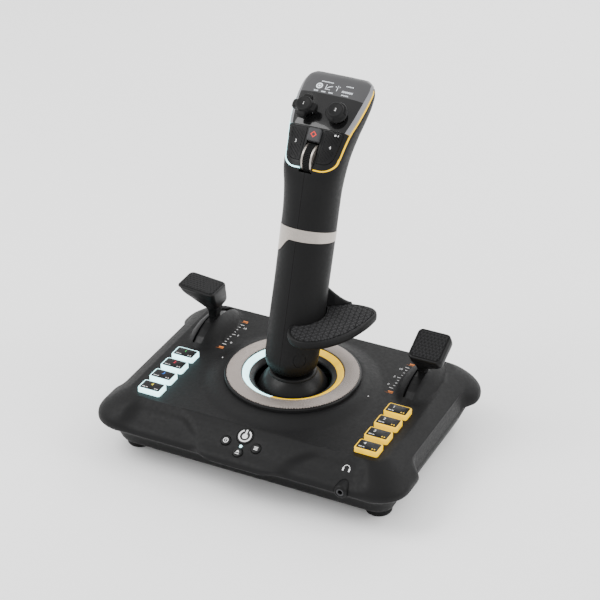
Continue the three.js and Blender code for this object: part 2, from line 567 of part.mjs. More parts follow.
add('grip_shell_left', 'plastic', gripShell(-1));
add('grip_shell_right', 'plastic', gripShell(1));
const bandSkin = gripForm(-BAND.proud).subtract(gripForm(BAND.sink - GAP));
add('grip_band', 'silver', bandSkin.intersect(bandRegion(0)));
add('neck_tube', 'plastic', turned([[7.4, 41], [10.6, 41], [NECK_R, 43], [NECK_R, 62], [9.6, 64], [9.6, 82],
  [7.4, 82]], 24));

// ---------- control head ----------
const plate = form.intersect(faceRoom(5, 0)).subtract(wheelSlot);
function facePlate() {
  let frame = plate.intersect(lowPart);
  for (const [, side] of sides) frame = frame.subtract(faceBlock(PANEL, buttonOutline(side, 0.35), -20, 20));
  const { low, high, half } = CENTRE;
  return frame.subtract(faceBlock(PANEL, rectangle(-half - 0.4, low - 2, half + 0.4, high + GAP), -20, 20));
}

function displayCover() {
  let cover = plate.intersect(topPart);
  for (const [, side] of sides) cover = cover.subtract(faceRod(HATS, HAT.hole, side * HAT.x, HAT.y, -14, 10));
  return cover;
}

function lightStrip(side) {
  const rim = form.subtract(rimCore).intersect(faceRoom(6.7, 1.6)).subtract(faceRoom(5.3, GAP));
  const half = box(80, 66.5, 300, side * (40 + WHEEL.slot + 0.4), 50, 160);
  return rim.intersect(half);
}

function hatCap(crossed) {
  const { rise, top } = HAT;
  const stem = faceRod(HATS, HAT.stem, 0, 0, -6, rise + 0.5);
  if (!crossed) {
    return stem.add(faceRod(HATS, 8.6, 0, 0, rise, top - 2)).add(faceRod(HATS, 6.6, 0, 0, rise, top));
  }
  const arms = faceBlock(HATS, rectangle(-10, -3.8, 10, 3.8), rise, top - 2)
    .add(faceBlock(HATS, rectangle(-3.8, -10, 3.8, 10), rise, top - 2));
  return stem.add(arms).add(faceRod(HATS, 6.6, 0, 0, rise, top));
}

const placeHat = (side, piece) => {
  const up = new THREE.Vector3(0, 1, 0).transformDirection(HATS).multiplyScalar(HAT.y);
  return piece.translate([side * HAT.x, up.y, up.z]);
};

function hatPivot() {
  return faceRod(HATS, 4.6, 0, 0, -9.6, -7, 20);
}

function trimTyre() {
  const wheel = rod(WHEEL.radius, WHEEL.tyre, 'x', -WHEEL.tyre / 2, 0, 0, 36);
  const grooves = Array.from({ length: 18 }, (_, i) => {
    const angle = (i / 18) * 2 * Math.PI;
    return rod(0.6, WHEEL.tyre + 2, 'x', -WHEEL.tyre / 2 - 1, WHEEL.radius * Math.cos(angle),
      WHEEL.radius * Math.sin(angle), 6);
  });
  return grooves.reduce((sum, groove) => sum.subtract(groove), wheel)
    .subtract(rod(WHEEL.hub + GAP, 20, 'x', -10, 0, 0, 32));
}

// The silver rims stand on both sides of the tyre, joined by the hub through it.
function trimHub() {
  const inner = WHEEL.tyre / 2 + GAP;
  const rims = sides.map(([, side]) => rod(WHEEL.radius - 0.3, WHEEL.rim, 'x',
    side * (inner + WHEEL.rim / 2) - WHEEL.rim / 2, 0, 0, 32));
  return union(...rims, rod(WHEEL.hub, 2 * inner + 1, 'x', -inner - 0.5, 0, 0, 24))
    .subtract(rod(1.8, 20, 'x', -10, 0, 0, 16));
}

const wheelCentre = new THREE.Vector3(0, WHEEL.y, -WHEEL.sink).applyMatrix4(PANEL);
const placeWheel = (piece) => piece.translate(wheelCentre.toArray());

add('face_plate', 'plastic', facePlate());
add('display_cover', 'gloss', displayCover());
add('light_strip_left', 'cyan', lightStrip(-1));
add('light_strip_right', 'amber', lightStrip(1));
for (const [name, side] of sides) {
  const outline = buttonOutline(side, 0);
  add(`thumb_button_${name}`, 'plastic', gripForm(-0.3).intersect(faceBlock(PANEL, outline, -4.6, 10)));
}
const centreOutline = rectangle(-CENTRE.half, CENTRE.low, CENTRE.half, CENTRE.high);
add('centre_button', 'grey', faceBlock(PANEL, centreOutline, -3, 3.6));
add('trim_wheel_tyre', 'rubber', placeWheel(trimTyre()));
add('trim_wheel_hub', 'silver', placeWheel(trimHub()));
add('trim_wheel_axle', 'steel', placeWheel(rod(1.5, 10, 'x', -5, 0, 0, 16)));
for (const [name, side] of sides) {
  add(`hat_${name}`, 'plastic', placeHat(side, hatCap(side < 0)));
  add(`hat_pivot_${name}`, 'steel', placeHat(side, hatPivot()));
}

// ---------- trigger and palm rest ----------
const TRIGGER_PIN = [60, 222];
function trigger() {
  const outline = [[56, 219], [58, 226.5], [63, 226.5], [68, 220], [74, 212], [79, 205], [83.5, 196.5],
    [83, 193.5], [80, 193.5], [75.5, 199], [70, 203.5], [63.5, 207], [58, 210]];
  return sideCut(outline, 10.5).add(rod(1.5, 16, 'x', -8, ...TRIGGER_PIN, 16));
}

// The palm rest is a wing to the right of the grip, drawn from above, with a fin up its rear.
const PALM_OUTLINE = [[6, -22], [12, -29.5], [21.5, -32.6], [31.5, -29], [41, -20.6], [50, -5.4], [54.6, 9],
  [57.2, 24], [56.8, 33], [52, 38.4], [43, 39.6], [30, 37.6], [16, 36], [2, 34], [2, 10]];
const FIN_FOOT = [[16, 23.5], [31.5, 35.5], [34, 39], [8, 39], [6, 30]];
const finCorner = (grow) => [[14, 21.3 - grow], [33 + grow, 35.2 - grow], [33 + grow, 45], [0, 45],
  [0, 21.3 - grow]];
const PALM = { bottom: 97, top: 104.2, padSink: 1 };

function smoothOutline(points, inset = 0, count = 34) {
  const knots = points.map(([x, y]) => new THREE.Vector3(x, y, 0));
  const curve = new THREE.CatmullRomCurve3(knots, true, 'centripetal');
  return Array.from({ length: count }, (_, i) => {
    const [p, t] = [curve.getPointAt(i / count), curve.getTangentAt(i / count)];
    return [p.x - t.y * inset, p.y + t.x * inset];
  });
}

const upright = (outline, from, to) => loft([from, to].map((z) =>
  outline.map(([x, y]) => new THREE.Vector3(x, y, z))));

function palmRest() {
  const top = PALM.top - 1.2;
  const low = smoothOutline(PALM_OUTLINE, 1.6).map(([x, y]) => new THREE.Vector3(x, y, PALM.bottom));
  const level = (z) => smoothOutline(PALM_OUTLINE).map(([x, y]) => new THREE.Vector3(x, y, z));
  const high = smoothOutline(PALM_OUTLINE, 1).map(([x, y]) => new THREE.Vector3(x, y, PALM.top));
  const wing = loft([low, level(PALM.bottom + 2), level(top), high]);
  const fin = solid(new ConvexGeometry([...[99, 104].flatMap((z) => FIN_FOOT.map(([x, y]) => [x, y, z])),
    [23, 30, 113], [19.5, 25, 121], [15, 27, 130], [6, 32, 130], [6, 38, 122]]
    .map((p) => new THREE.Vector3(...p))));
  const pocket = upright(smoothOutline(PALM_OUTLINE, 2.2), PALM.top - PALM.padSink, PALM.top + 4)
    .intersect(box(80, 66, 40, 47, 0, PALM.top)).subtract(upright(finCorner(0), 90, 140));
  return wing.subtract(pocket).add(fin).subtract(gripForm(-GAP));
}

function palmPad() {
  return upright(smoothOutline(PALM_OUTLINE, 2.6), PALM.top - PALM.padSink + GAP, PALM_Z)
    .intersect(box(79, 65, 40, 47, 0, PALM.top)).subtract(gripForm(-1.2))
    .subtract(upright(finCorner(GAP), 90, 140));
}

add('trigger_blade', 'silver', trigger());
add('palm_rest', 'plastic', palmRest());
add('palm_rest_pad', 'rubber', palmPad());

const root = new THREE.Group();
root.name = 'flight_joystick';
meshes.forEach((mesh) => root.add(mesh));
export default root;
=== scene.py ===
"""Looks of the flight joystick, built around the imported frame.

Shapes are in millimetres until they become meshes.
"""

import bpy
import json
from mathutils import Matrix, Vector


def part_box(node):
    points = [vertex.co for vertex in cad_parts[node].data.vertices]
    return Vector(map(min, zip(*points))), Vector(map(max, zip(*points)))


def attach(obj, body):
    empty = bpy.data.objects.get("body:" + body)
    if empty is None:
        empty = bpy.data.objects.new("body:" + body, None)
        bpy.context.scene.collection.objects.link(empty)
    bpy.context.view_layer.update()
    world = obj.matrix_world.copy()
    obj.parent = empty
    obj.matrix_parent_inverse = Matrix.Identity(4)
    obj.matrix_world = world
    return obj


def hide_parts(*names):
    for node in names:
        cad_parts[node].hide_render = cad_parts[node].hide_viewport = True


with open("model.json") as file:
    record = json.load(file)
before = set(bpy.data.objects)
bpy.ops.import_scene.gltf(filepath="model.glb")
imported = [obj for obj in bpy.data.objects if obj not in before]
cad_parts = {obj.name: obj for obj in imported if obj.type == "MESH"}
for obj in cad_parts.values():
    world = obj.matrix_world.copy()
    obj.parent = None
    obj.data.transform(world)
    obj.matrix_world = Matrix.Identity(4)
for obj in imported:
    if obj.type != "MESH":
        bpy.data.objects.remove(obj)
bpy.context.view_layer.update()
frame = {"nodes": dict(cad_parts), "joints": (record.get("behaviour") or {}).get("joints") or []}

import json
import math

import bpy
import numpy as np
from mathutils import Matrix, Vector

MM = 0.001
TAU = 2 * math.pi
SIDES = (("left", -1), ("right", 1))
FEET = ("left_front_foot", "left_rear_foot", "right_front_foot", "right_rear_foot")
WALL = 2.6


# ---------- camera ----------
CAMERA = dict(azimuth=26.02, elevation=30.86, place=(0.6036, -1.2240, 0.9342), sensor=36, lens=123.13)


def add_camera():
    """Looks down on the front right of the object, as the photograph does."""
    azimuth, elevation = math.radians(CAMERA["azimuth"]), math.radians(CAMERA["elevation"])
    back = Vector((math.sin(azimuth) * math.cos(elevation), -math.cos(azimuth) * math.cos(elevation),
                   math.sin(elevation)))
    data = bpy.data.cameras.new("camera")
    data.sensor_width, data.lens = CAMERA["sensor"], CAMERA["lens"]
    camera = bpy.data.objects.new("camera", data)
    camera.location = CAMERA["place"]
    camera.rotation_euler = (-back).to_track_quat("-Z", "Y").to_euler()
    bpy.context.scene.collection.objects.link(camera)
    bpy.context.scene.camera = camera


add_camera()


# ---------- places from the frame ----------
def low_high(node):
    low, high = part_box(node)
    return np.array(low) / MM, np.array(high) / MM


def joint_at(name):
    joint = next(j for j in frame["joints"] if j["name"] == name)
    return np.array(joint["pos_m"]) / MM


PIVOT = joint_at("stick_pitch")
RING_LOW, RING_HIGH = low_high("ring_bezel")
PLATE_Z = 44.6
FLOOR_Z = low_high("left_front_foot")[0][2]
RING_IN = 40.6
WHEEL_AT = joint_at("trim_wheel_spin")


# ---------- mesh helpers ----------
def link(name, mesh):
    piece = bpy.data.objects.new(name, mesh)
    bpy.context.scene.collection.objects.link(piece)
    return piece


def new_mesh(name, points, faces):
    mesh = bpy.data.meshes.new(name)
    mesh.from_pydata([tuple(np.asarray(p, float) * MM) for p in points], [], faces)
    mesh.validate()
    mesh.update()
    return link(name, mesh)


def loft(name, loops, closed=False):
    """A skin through loops of equal length; its ends are capped unless the loops close on themselves."""
    count, rows = len(loops[0]), len(loops)
    points = [p for loop in loops for p in loop]
    faces = []
    for row in range(rows if closed else rows - 1):
        low, high = row * count, (row + 1) % rows * count
        faces += [(low + i, low + (i + 1) % count, high + (i + 1) % count, high + i) for i in range(count)]
    if not closed:
        points += [np.mean(loops[0], axis=0), np.mean(loops[-1], axis=0)]
        first, last, top = len(points) - 2, len(points) - 1, (rows - 1) * count
        faces += [(first, (i + 1) % count, i) for i in range(count)]
        faces += [(last, top + i, top + (i + 1) % count) for i in range(count)]
    return outward(new_mesh(name, points, faces))


def flat_ended(name, loops):
    """A skin through loops of equal length, with one flat face at each end."""
    count, rows = len(loops[0]), len(loops)
    faces = [(row * count + i, row * count + (i + 1) % count, (row + 1) * count + (i + 1) % count,
              (row + 1) * count + i) for row in range(rows - 1) for i in range(count)]
    faces += [tuple(reversed(range(count))), tuple(range((rows - 1) * count, rows * count))]
    return outward(new_mesh(name, [p for loop in loops for p in loop], faces))


def outward(piece):
    """Turns the faces of a closed mesh outwards."""
    mesh = piece.data
    mesh.calc_loop_triangles()
    co = np.array([v.co for v in mesh.vertices])
    tri = np.array([t.vertices for t in mesh.loop_triangles])
    volume = np.einsum("ij,ij->i", co[tri[:, 0]], np.cross(co[tri[:, 1]], co[tri[:, 2]])).sum()
    if volume < 0:
        mesh.flip_normals()
    return piece


def turned(name, profile, sides=128, centre=(0, 0), wobble=None):
    """A closed [radius, height] profile turned about a vertical axis."""
    loops = []
    for i in range(sides):
        angle = TAU * i / sides
        loops.append([(centre[0] + (r + (wobble(angle, r) if wobble else 0)) * math.cos(angle),
                       centre[1] + (r + (wobble(angle, r) if wobble else 0)) * math.sin(angle), z)
                      for r, z in profile])
    return loft(name, loops, closed=True)


def prism(name, outline, low, high, frame_matrix=None):
    """An outline of (x, y) points between two heights of a local frame."""
    loops = [[Vector((x, y, z)) for x, y in outline] for z in (low, high)]
    if frame_matrix is not None:
        loops = [[frame_matrix @ p for p in loop] for loop in loops]
    return loft(name, loops)


def circle(radius, count=48, x=0.0, y=0.0):
    return [(x + radius * math.cos(TAU * i / count), y + radius * math.sin(TAU * i / count))
            for i in range(count)]


def round_loops(profile, matrix, count=48):
    """Circles of a [radius, height] profile in a local frame."""
    return [[matrix @ Vector((x, y, z)) for x, y in circle(radius, count)] for radius, z in profile]


def rounded_rectangle(wide, deep, radius, steps=6, x=0.0, y=0.0):
    points = []
    for quarter, (sx, sy) in enumerate(((1, 1), (-1, 1), (-1, -1), (1, -1))):
        for i in range(steps + 1):
            angle = (quarter + i / steps) * math.pi / 2
            points.append((x + sx * (wide / 2 - radius) + radius * math.cos(angle),
                           y + sy * (deep / 2 - radius) + radius * math.sin(angle)))
    return points


def bake(piece):
    """Applies the modifiers of a piece to its mesh."""
    graph = bpy.context.evaluated_depsgraph_get()
    mesh = bpy.data.meshes.new_from_object(piece.evaluated_get(graph))
    old = piece.data
    piece.modifiers.clear()
    piece.data = mesh
    bpy.data.meshes.remove(old)
    return piece


def cut(piece, *tools, operation="DIFFERENCE"):
    for tool in tools:
        modifier = piece.modifiers.new("cut", "BOOLEAN")
        modifier.operation, modifier.solver, modifier.object = operation, "EXACT", tool
    bake(piece)
    for tool in tools:
        bpy.data.objects.remove(tool)
    return piece


def copy_of(piece):
    return link(piece.name + "_copy", piece.data.copy())


def joined(name, pieces):
    """Several separate solids as one object."""
    points, faces = [], []
    for piece in pieces:
        start = len(points)
        points += [np.array(piece.matrix_world @ v.co) / MM for v in piece.data.vertices]
        faces += [tuple(start + i for i in polygon.vertices) for polygon in piece.data.polygons]
        bpy.data.objects.remove(piece)
    return new_mesh(name, points, faces)


def smooth_shade(piece, angle=35):
    for polygon in piece.data.polygons:
        polygon.use_smooth = True
    piece.data.set_sharp_from_angle(angle=math.radians(angle))


def soften(piece, width=0.35, segments=2, angle=40):
    """A small moulded radius on the edges of a piece."""
    modifier = piece.modifiers.new("edge_radius", "BEVEL")
    modifier.width, modifier.segments = width * MM, segments
    modifier.limit_method, modifier.angle_limit = "ANGLE", math.radians(angle)
    modifier.harden_normals = True
    modifier.use_clamp_overlap = True


def finish_piece(piece, body, material, replaces=(), bevel=None, angle=35):
    smooth_shade(piece, angle)
    piece.data.materials.clear()
    piece.data.materials.append(material[0])
    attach(piece, body)
    if bevel:
        soften(piece, bevel)
    if replaces:
        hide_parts(*replaces)
    return piece


# ---------- materials ----------
def node_material(name, slot, base, roughness, metallic=0.0, coat=0.0, specular=0.14):
    material = bpy.data.materials.new(name)
    material.use_nodes = True
    shader = material.node_tree.nodes["Principled BSDF"]
    shader.inputs["Base Color"].default_value = (*base, 1)
    shader.inputs["Roughness"].default_value = roughness
    shader.inputs["Metallic"].default_value = metallic
    shader.inputs["Coat Weight"].default_value = coat
    shader.inputs["Specular IOR Level"].default_value = specular
    return material, slot


class Wires:
    """Short names for building a node tree."""

    def __init__(self, material):
        self.tree = material[0].node_tree
        self.shader = self.tree.nodes["Principled BSDF"]
        self.place = self.node("ShaderNodeTexCoord").outputs["Object"]

    def node(self, kind, **settings):
        made = self.tree.nodes.new(kind)
        for key, value in settings.items():
            setattr(made, key, value)
        return made

    def join(self, source, target):
        self.tree.links.new(source, target)

    def noise(self, scale, detail=3.0, roughness=0.5):
        made = self.node("ShaderNodeTexNoise")
        made.inputs["Scale"].default_value = scale
        made.inputs["Detail"].default_value = detail
        made.inputs["Roughness"].default_value = roughness
        self.join(self.place, made.inputs["Vector"])
        return made.outputs["Fac"]

    def ramp(self, value, low, high, start, end):
        made = self.node("ShaderNodeMapRange")
        for key, number in (("From Min", low), ("From Max", high), ("To Min", start), ("To Max", end)):
            made.inputs[key].default_value = number
        self.join(value, made.inputs["Value"])
        return made.outputs["Result"]

    def mix(self, factor, first, second):
        made = self.node("ShaderNodeMix", data_type="RGBA")
        for name, colour in (("A", first), ("B", second)):
            if isinstance(colour, tuple):
                made.inputs[name].default_value = (*colour, 1)
            else:
                self.join(colour, made.inputs[name])
        self.join(factor, made.inputs["Factor"])
        return made.outputs["Result"]

    def math(self, operation, first, second=None):
        made = self.node("ShaderNodeMath", operation=operation)
        for socket, value in zip(made.inputs, (first, second)):
            if value is None:
                continue
            if isinstance(value, (int, float)):
                socket.default_value = value
            else:
                self.join(value, socket)
        return made.outputs[0]

    def bump(self, height, strength, distance, before=None):
        made = self.node("ShaderNodeBump")
        made.inputs["Strength"].default_value = strength
        made.inputs["Distance"].default_value = distance
        self.join(height, made.inputs["Height"])
        if before is not None:
            self.join(before, made.inputs["Normal"])
        self.join(made.outputs["Normal"], self.shader.inputs["Normal"])
        return made.outputs["Normal"]


def moulded(name, slot, base, roughness, grain=0.12, grain_scale=2600, edge_highlight=0.35):
    """Moulded plastic: a fine spark-eroded grain, faint cloudiness and a painted highlight that makes sharp outer
    edges a little lighter.
    """
    material = node_material(name, slot, base, roughness)
    w = Wires(material)
    cloud = w.noise(38, 4)
    lighter = tuple(min(1, c * 1.12 + 0.0004) for c in base)
    body = w.mix(w.ramp(cloud, 0.35, 0.65, 0, 1), base, lighter)
    # painted highlight: sharp outer edges, found by their pointiness, are painted lighter than the plastic
    edge = w.ramp(w.node("ShaderNodeNewGeometry").outputs["Pointiness"], 0.52, 0.6, 0, edge_highlight)
    with_edge_highlight = w.mix(edge, body, tuple(c * 2 + 0.003 for c in base))
    w.join(with_edge_highlight, w.shader.inputs["Base Color"])
    w.join(w.ramp(w.noise(420, 3), 0.3, 0.7, roughness - 0.05, roughness + 0.07), w.shader.inputs["Roughness"])
    w.bump(w.noise(grain_scale, 2, 0.6), grain, 0.00025)
    return material


def triangle_rubber(name, slot, base, pitch, angle=0.0, depth=0.0005):
    """Rubber moulded with three crossing sets of grooves, which leave small raised triangles."""
    material = node_material(name, slot, base, 0.72)
    w = Wires(material)
    grooves = None
    split = w.node("ShaderNodeSeparateXYZ")
    w.join(w.place, split.inputs[0])
    for turn in (0, 60, 120):
        direction = math.radians(turn + angle)
        along = w.math("ADD", w.math("MULTIPLY", split.outputs["X"], math.cos(direction) / pitch),
                       w.math("MULTIPLY", split.outputs["Y"], math.sin(direction) / pitch))
        distance = w.math("ABSOLUTE", w.math("SUBTRACT", w.math("FRACT", along), 0.5))
        ridge = w.ramp(distance, 0.36, 0.5, 1, 0)
        grooves = ridge if grooves is None else w.math("MINIMUM", grooves, ridge)
    # painted shade and highlight: the grooves are painted dark and the raised triangles lighter than the rubber's
    # own colour
    w.join(w.mix(grooves, tuple(c * 0.2 for c in base), tuple(c * 2 for c in base)),
           w.shader.inputs["Base Color"])
    fine = w.bump(w.noise(2200, 2), 0.1, 0.0002)
    w.bump(grooves, 0.9, depth, fine)
    return material


def satin_metal(name, slot, base, roughness, brushing=0.0):
    """Satin metal paint with a faint flake and soft uneven sheen."""
    material = node_material(name, slot, base, roughness, metallic=0.85)
    w = Wires(material)
    w.join(w.mix(w.ramp(w.noise(900, 2), 0.35, 0.65, 0, 1), tuple(c * 0.93 for c in base),
                 tuple(min(1, c * 1.05) for c in base)), w.shader.inputs["Base Color"])
    w.join(w.ramp(w.noise(60, 4), 0.3, 0.7, roughness - 0.05, roughness + 0.06), w.shader.inputs["Roughness"])
    w.bump(w.noise(3200, 2), 0.06 + brushing, 0.0002)
    return material


def knurled_ring():
    """The ring's face: fine slanting lines that run from its inner to its outer edge."""
    material = node_material("ring_face_silver", "silver_trim", (0.56, 0.50, 0.46), 0.42, metallic=0.55)
    w = Wires(material)
    split = w.node("ShaderNodeSeparateXYZ")
    w.join(w.place, split.inputs[0])
    angle = w.math("ARCTAN2", split.outputs["Y"], split.outputs["X"])
    radius = w.math("SQRT", w.math("ADD", w.math("POWER", split.outputs["X"], 2.0),
                                   w.math("POWER", split.outputs["Y"], 2.0)))
    turns = w.math("ADD", w.math("MULTIPLY", angle, 300 / TAU), w.math("MULTIPLY", radius, 620.0))
    line = w.ramp(w.math("ABSOLUTE", w.math("SUBTRACT", w.math("FRACT", turns), 0.5)), 0.1, 0.4, 0, 1)
    # painted shade: the knurl's grooves are painted much darker than the silver between them
    w.join(w.mix(line, (0.14, 0.12, 0.108), (0.46, 0.405, 0.37)), w.shader.inputs["Base Color"])
    w.bump(line, 0.55, 0.00022)
    return material


def light_guide(name, slot, base, glow, strength):
    """Translucent moulding lit from inside, its glow a little uneven from place to place."""
    material = node_material(name, slot, base, 0.35)
    w = Wires(material)
    w.shader.inputs["Emission Color"].default_value = (*glow, 1)
    w.join(w.ramp(w.noise(160, 2), 0.3, 0.7, strength * 0.85, strength * 1.1),
           w.shader.inputs["Emission Strength"])
    w.bump(w.noise(1800, 2), 0.05, 0.0002)
    return material


def printed(name, slot, base, glow=0.0):
    """Pad-printed ink with slightly broken coverage."""
    material = node_material(name, slot, base, 0.6)
    w = Wires(material)
    w.join(w.mix(w.ramp(w.noise(1500, 3), 0.35, 0.5, 0, 1), tuple(c * 0.75 for c in base), base),
           w.shader.inputs["Base Color"])
    w.shader.inputs["Emission Color"].default_value = (*base, 1)
    w.shader.inputs["Emission Strength"].default_value = glow
    w.bump(w.noise(1500, 2), 0.05, 0.0001)
    return material


PLASTIC = moulded("matte_black", "matte_black_plastic", (0.0042, 0.0042, 0.0044), 0.5)
PLATE = moulded("matte_black_plate", "matte_black_plastic", (0.0045, 0.0045, 0.0047), 0.52, grain=0.16)
DARK = moulded("deep_black", "matte_black_plastic", (0.0035, 0.0035, 0.0037), 0.4, grain=0.05)
SATIN = moulded("satin_black", "matte_black_plastic", (0.006, 0.006, 0.0062), 0.34, grain=0.05)
GREY = moulded("dark_grey", "dark_grey_plastic", (0.04, 0.04, 0.042), 0.42, grain=0.08)
SIDE_GREY = moulded("side_grey", "dark_grey_plastic", (0.2, 0.2, 0.21), 0.34, grain=0.05)
RUBBER = moulded("foot_rubber", "soft_black_rubber", (0.006, 0.006, 0.0062), 0.75, grain=0.3, grain_scale=1500)
PALM_RUBBER = triangle_rubber("palm_pad_rubber", "soft_black_rubber", (0.011, 0.011, 0.0115), 0.0042, 12, 0.0007)
LEVER_RUBBER = triangle_rubber("lever_pad_rubber", "soft_black_rubber", (0.009, 0.009, 0.0094), 0.0026, 30, 0.0005)
SILVER = satin_metal("warm_silver", "silver_trim", (0.4, 0.365, 0.33), 0.3)
STEEL = satin_metal("satin_steel", "steel", (0.45, 0.46, 0.47), 0.35, 0.05)
RING_FACE = knurled_ring()
CYAN = light_guide("cyan_glow", "cyan_light_guide", (0.45, 0.8, 0.85), (0.55, 0.97, 1.0), 3.2)
AMBER = light_guide("amber_glow", "amber_light_guide", (0.5, 0.3, 0.0), (1.0, 0.6, 0.0), 1.15)
WHITE_INK = printed("white_ink", "matte_black_plastic", (0.75, 0.75, 0.75))
ORANGE_INK = printed("orange_ink", "matte_black_plastic", (0.75, 0.22, 0.04))
BOARD = moulded("solder_resist", "circuit_board", (0.02, 0.12, 0.05), 0.4)


def polished(name, base, roughness):
    """A polished panel with a slight waviness and smears that change its gloss."""
    material = node_material(name, "gloss_black_panel", base, roughness, coat=0.4)
    w = Wires(material)
    w.join(w.mix(w.ramp(w.noise(30, 2), 0.3, 0.7, 0, 1), base, tuple(c * 1.15 for c in base)),
           w.shader.inputs["Base Color"])
    w.join(w.ramp(w.noise(25, 3), 0.3, 0.7, roughness - 0.03, roughness + 0.04), w.shader.inputs["Roughness"])
    w.bump(w.noise(90, 2), 0.02, 0.0002)
    return material


GLOSS = polished("gloss_panel", (0.006, 0.006, 0.0062), 0.2)
GLASS = polished("screen_glass", (0.05, 0.05, 0.052), 0.26)


# ---------- base covers ----------
# Levels of the top cover's skin: height, half width, front, back, corner radius, tongue, scoop, half width
# at the waist.
COVER_LEVELS = np.array([
    (22, 127, -92.5, 84.5, 22, -3, 0, 123.5), (23.5, 131.3, -96, 88.3, 24, -4.2, 0, 123.5),
    (26, 133.04, -97.6, 90, 25, -5, 0, 123.5), (29.5, 132.88, -97, 90, 25, -4, 1.5, 123.5),
    (33, 130.5, -94.5, 89, 24, 1, 5.5, 123.5), (37, 125.5, -89.5, 86.5, 21, 2.2, 7, 123.5),
    (41, 119, -82.5, 83, 17, 1.6, 4.5, 123.5), (PLATE_Z, 111.5, -73.5, 78.5, 13, 0, 0, 123.5)])
LOWER_LEVELS = np.array([
    (0, 114.5, -75.2, 71, 11, 0, 0, 114.5), (0.4, 115.3, -76, 71.8, 11.8, 0, 0, 115.3),
    (3, 117, -79.2, 74.5, 13.5, 0, 0, 117), (14, 121.8, -84.5, 79, 17, 0, 0, 121.8),
    (21.7, 125.5, -90, 83, 20.5, 0, 0, 121)])
WAIST = dict(middle=3, reach=46, blend=14)


def smooth(t):
    t = np.clip(t, 0, 1)
    return t * t * (3 - 2 * t)


def through(rows, count):
    """A smooth curve through the rows of a table, resampled evenly along its length."""
    rows = np.asarray(rows, float)
    gaps = np.maximum(np.linalg.norm(np.diff(rows[:, :4], axis=0), axis=1), 1e-6)
    at = np.concatenate([[0], np.cumsum(gaps)])
    slopes = np.gradient(rows, at, axis=0)
    out = []
    for s in np.linspace(0, at[-1], count):
        i = min(np.searchsorted(at, s, side="right") - 1, len(rows) - 2)
        h = at[i + 1] - at[i]
        t = (s - at[i]) / h
        out.append((2 * t**3 - 3 * t**2 + 1) * rows[i] + (t**3 - 2 * t**2 + t) * h * slopes[i]
                   + (3 * t**2 - 2 * t**3) * rows[i + 1] + (t**3 - t**2) * h * slopes[i + 1])
    return np.array(out)


def front_move(x, z, tongue, scoop):
    """How far the front edge moves at x: a tongue in the middle, a hollow on each side of it."""
    half = 30 + (z - 26) / (PLATE_Z - 26) * 29
    in_tongue = 1 - smooth((abs(x) - half + 8) / 16)
    near_corner = smooth((abs(x) - 92) / 14)
    return tongue * in_tongue + scoop * (1 - in_tongue) * (1 - near_corner)


def waist_move(y, depth):
    """How far the side draws in between the corner lobes."""
    inside = 1 - smooth((abs(y - WAIST["middle"]) - WAIST["reach"]) / WAIST["blend"])
    return max(depth, 0) * inside


def base_loop(level, inset=0.0, front=64, side=40, corner=12):
    z, half, low, high, radius, tongue, scoop, waist = level
    depth = half - waist
    half, low, high, radius = half - inset, low + inset, high - inset, radius - inset
    loop = []

    def round_corner(x, y, start):
        for i in range(corner + 1):
            angle = start + i / corner * math.pi / 2
            loop.append((x + radius * math.cos(angle), y + radius * math.sin(angle), z))

    round_corner(radius - half, low + radius, math.pi)
    for i in range(1, front):
        x = (i / front * 2 - 1) * (half - radius)
        loop.append((x, low + front_move(x, z, tongue, scoop), z))
    round_corner(half - radius, low + radius, -math.pi / 2)
    ys = [low + radius + (high - low - 2 * radius) * i / side for i in range(1, side)]
    loop.extend((half - waist_move(y, depth), y, z) for y in ys)
    round_corner(half - radius, high - radius, 0)
    loop.extend(((1 - i / front * 2) * (half - radius), high, z) for i in range(1, front))
    round_corner(radius - half, high - radius, math.pi / 2)
    loop.extend((waist_move(y, depth) - half, y, z) for y in reversed(ys))
    return np.array(loop)


POD = dict(x=93.3, y=41.5, slot_wide=8.6, slot_half=30, top=56.7)


def plate_height(x, y):
    """The top of the base: flat, with a swelling under the ring and a hump over each throttle."""
    r = math.hypot(x, y)
    z = PLATE_Z + 5 * smooth((72 - r) / 16.5)
    dx, dy = (abs(x) - POD["x"] + 1) / 16.5, (y - POD["y"]) / 35.5
    q = dx * dx + dy * dy
    hump = POD["top"] - 18.6 + 18.6 * math.sqrt(max(1 - q, 0)) - 12 * max(q - 1, 0)
    return 0.5 * (z + hump + math.sqrt((z - hump) ** 2 + 1.6)) if hump > PLATE_Z - 8 else z


def top_rings(crease, drop, count):
    """Loops from the crease in to the middle of the plate, at its height less a drop."""
    centre = np.array((0, 2.5, 0))
    loops = []
    for i in range(1, count):
        ring = centre + (crease - centre) * (1 - i / count)
        loops.append(np.array([(x, y, plate_height(x, y) - drop) for x, y, _ in ring]))
    return loops


def top_cover():
    levels = through(COVER_LEVELS, 26)
    outer = [base_loop(level) for level in levels]
    outer += top_rings(outer[-1], 0, 66)
    cover = loft("top_cover", outer)
    rim, shoulder, crease = (COVER_LEVELS[i] for i in (0, 4, 7))
    down = np.array((1, 0, 0, 0, 0, 0, 0, 0))
    inner = [base_loop(rim - 6 * down, WALL), base_loop(rim + 3 * down, WALL),
             base_loop(shoulder - 2 * down, 2 * WALL), base_loop(crease - WALL * down, 2 * WALL)]
    inner += top_rings(inner[-1], WALL, 24)
    cut(cover, loft("cover_inside", inner))
    cut(cover, joined("cover_holes", cover_holes()))
    return cut(cover, *drum_reliefs())


# The tongue's slope: its cosine, its sine and the crease that it starts from.
SLOPE_COS, SLOPE_SIN, CREASE_Y = 0.8698, 0.4938, -73.5


def slope_matrix(x, y):
    """Local Z points out of the sloping tongue of the front face."""
    down, out = Vector((0, -SLOPE_COS, -SLOPE_SIN)), Vector((0, -SLOPE_SIN, SLOPE_COS))
    matrix = Matrix((down.cross(out), down, out)).transposed().to_4x4()
    matrix.translation = Vector((x, y, PLATE_Z + (y - CREASE_Y) * SLOPE_SIN / SLOPE_COS))
    return matrix


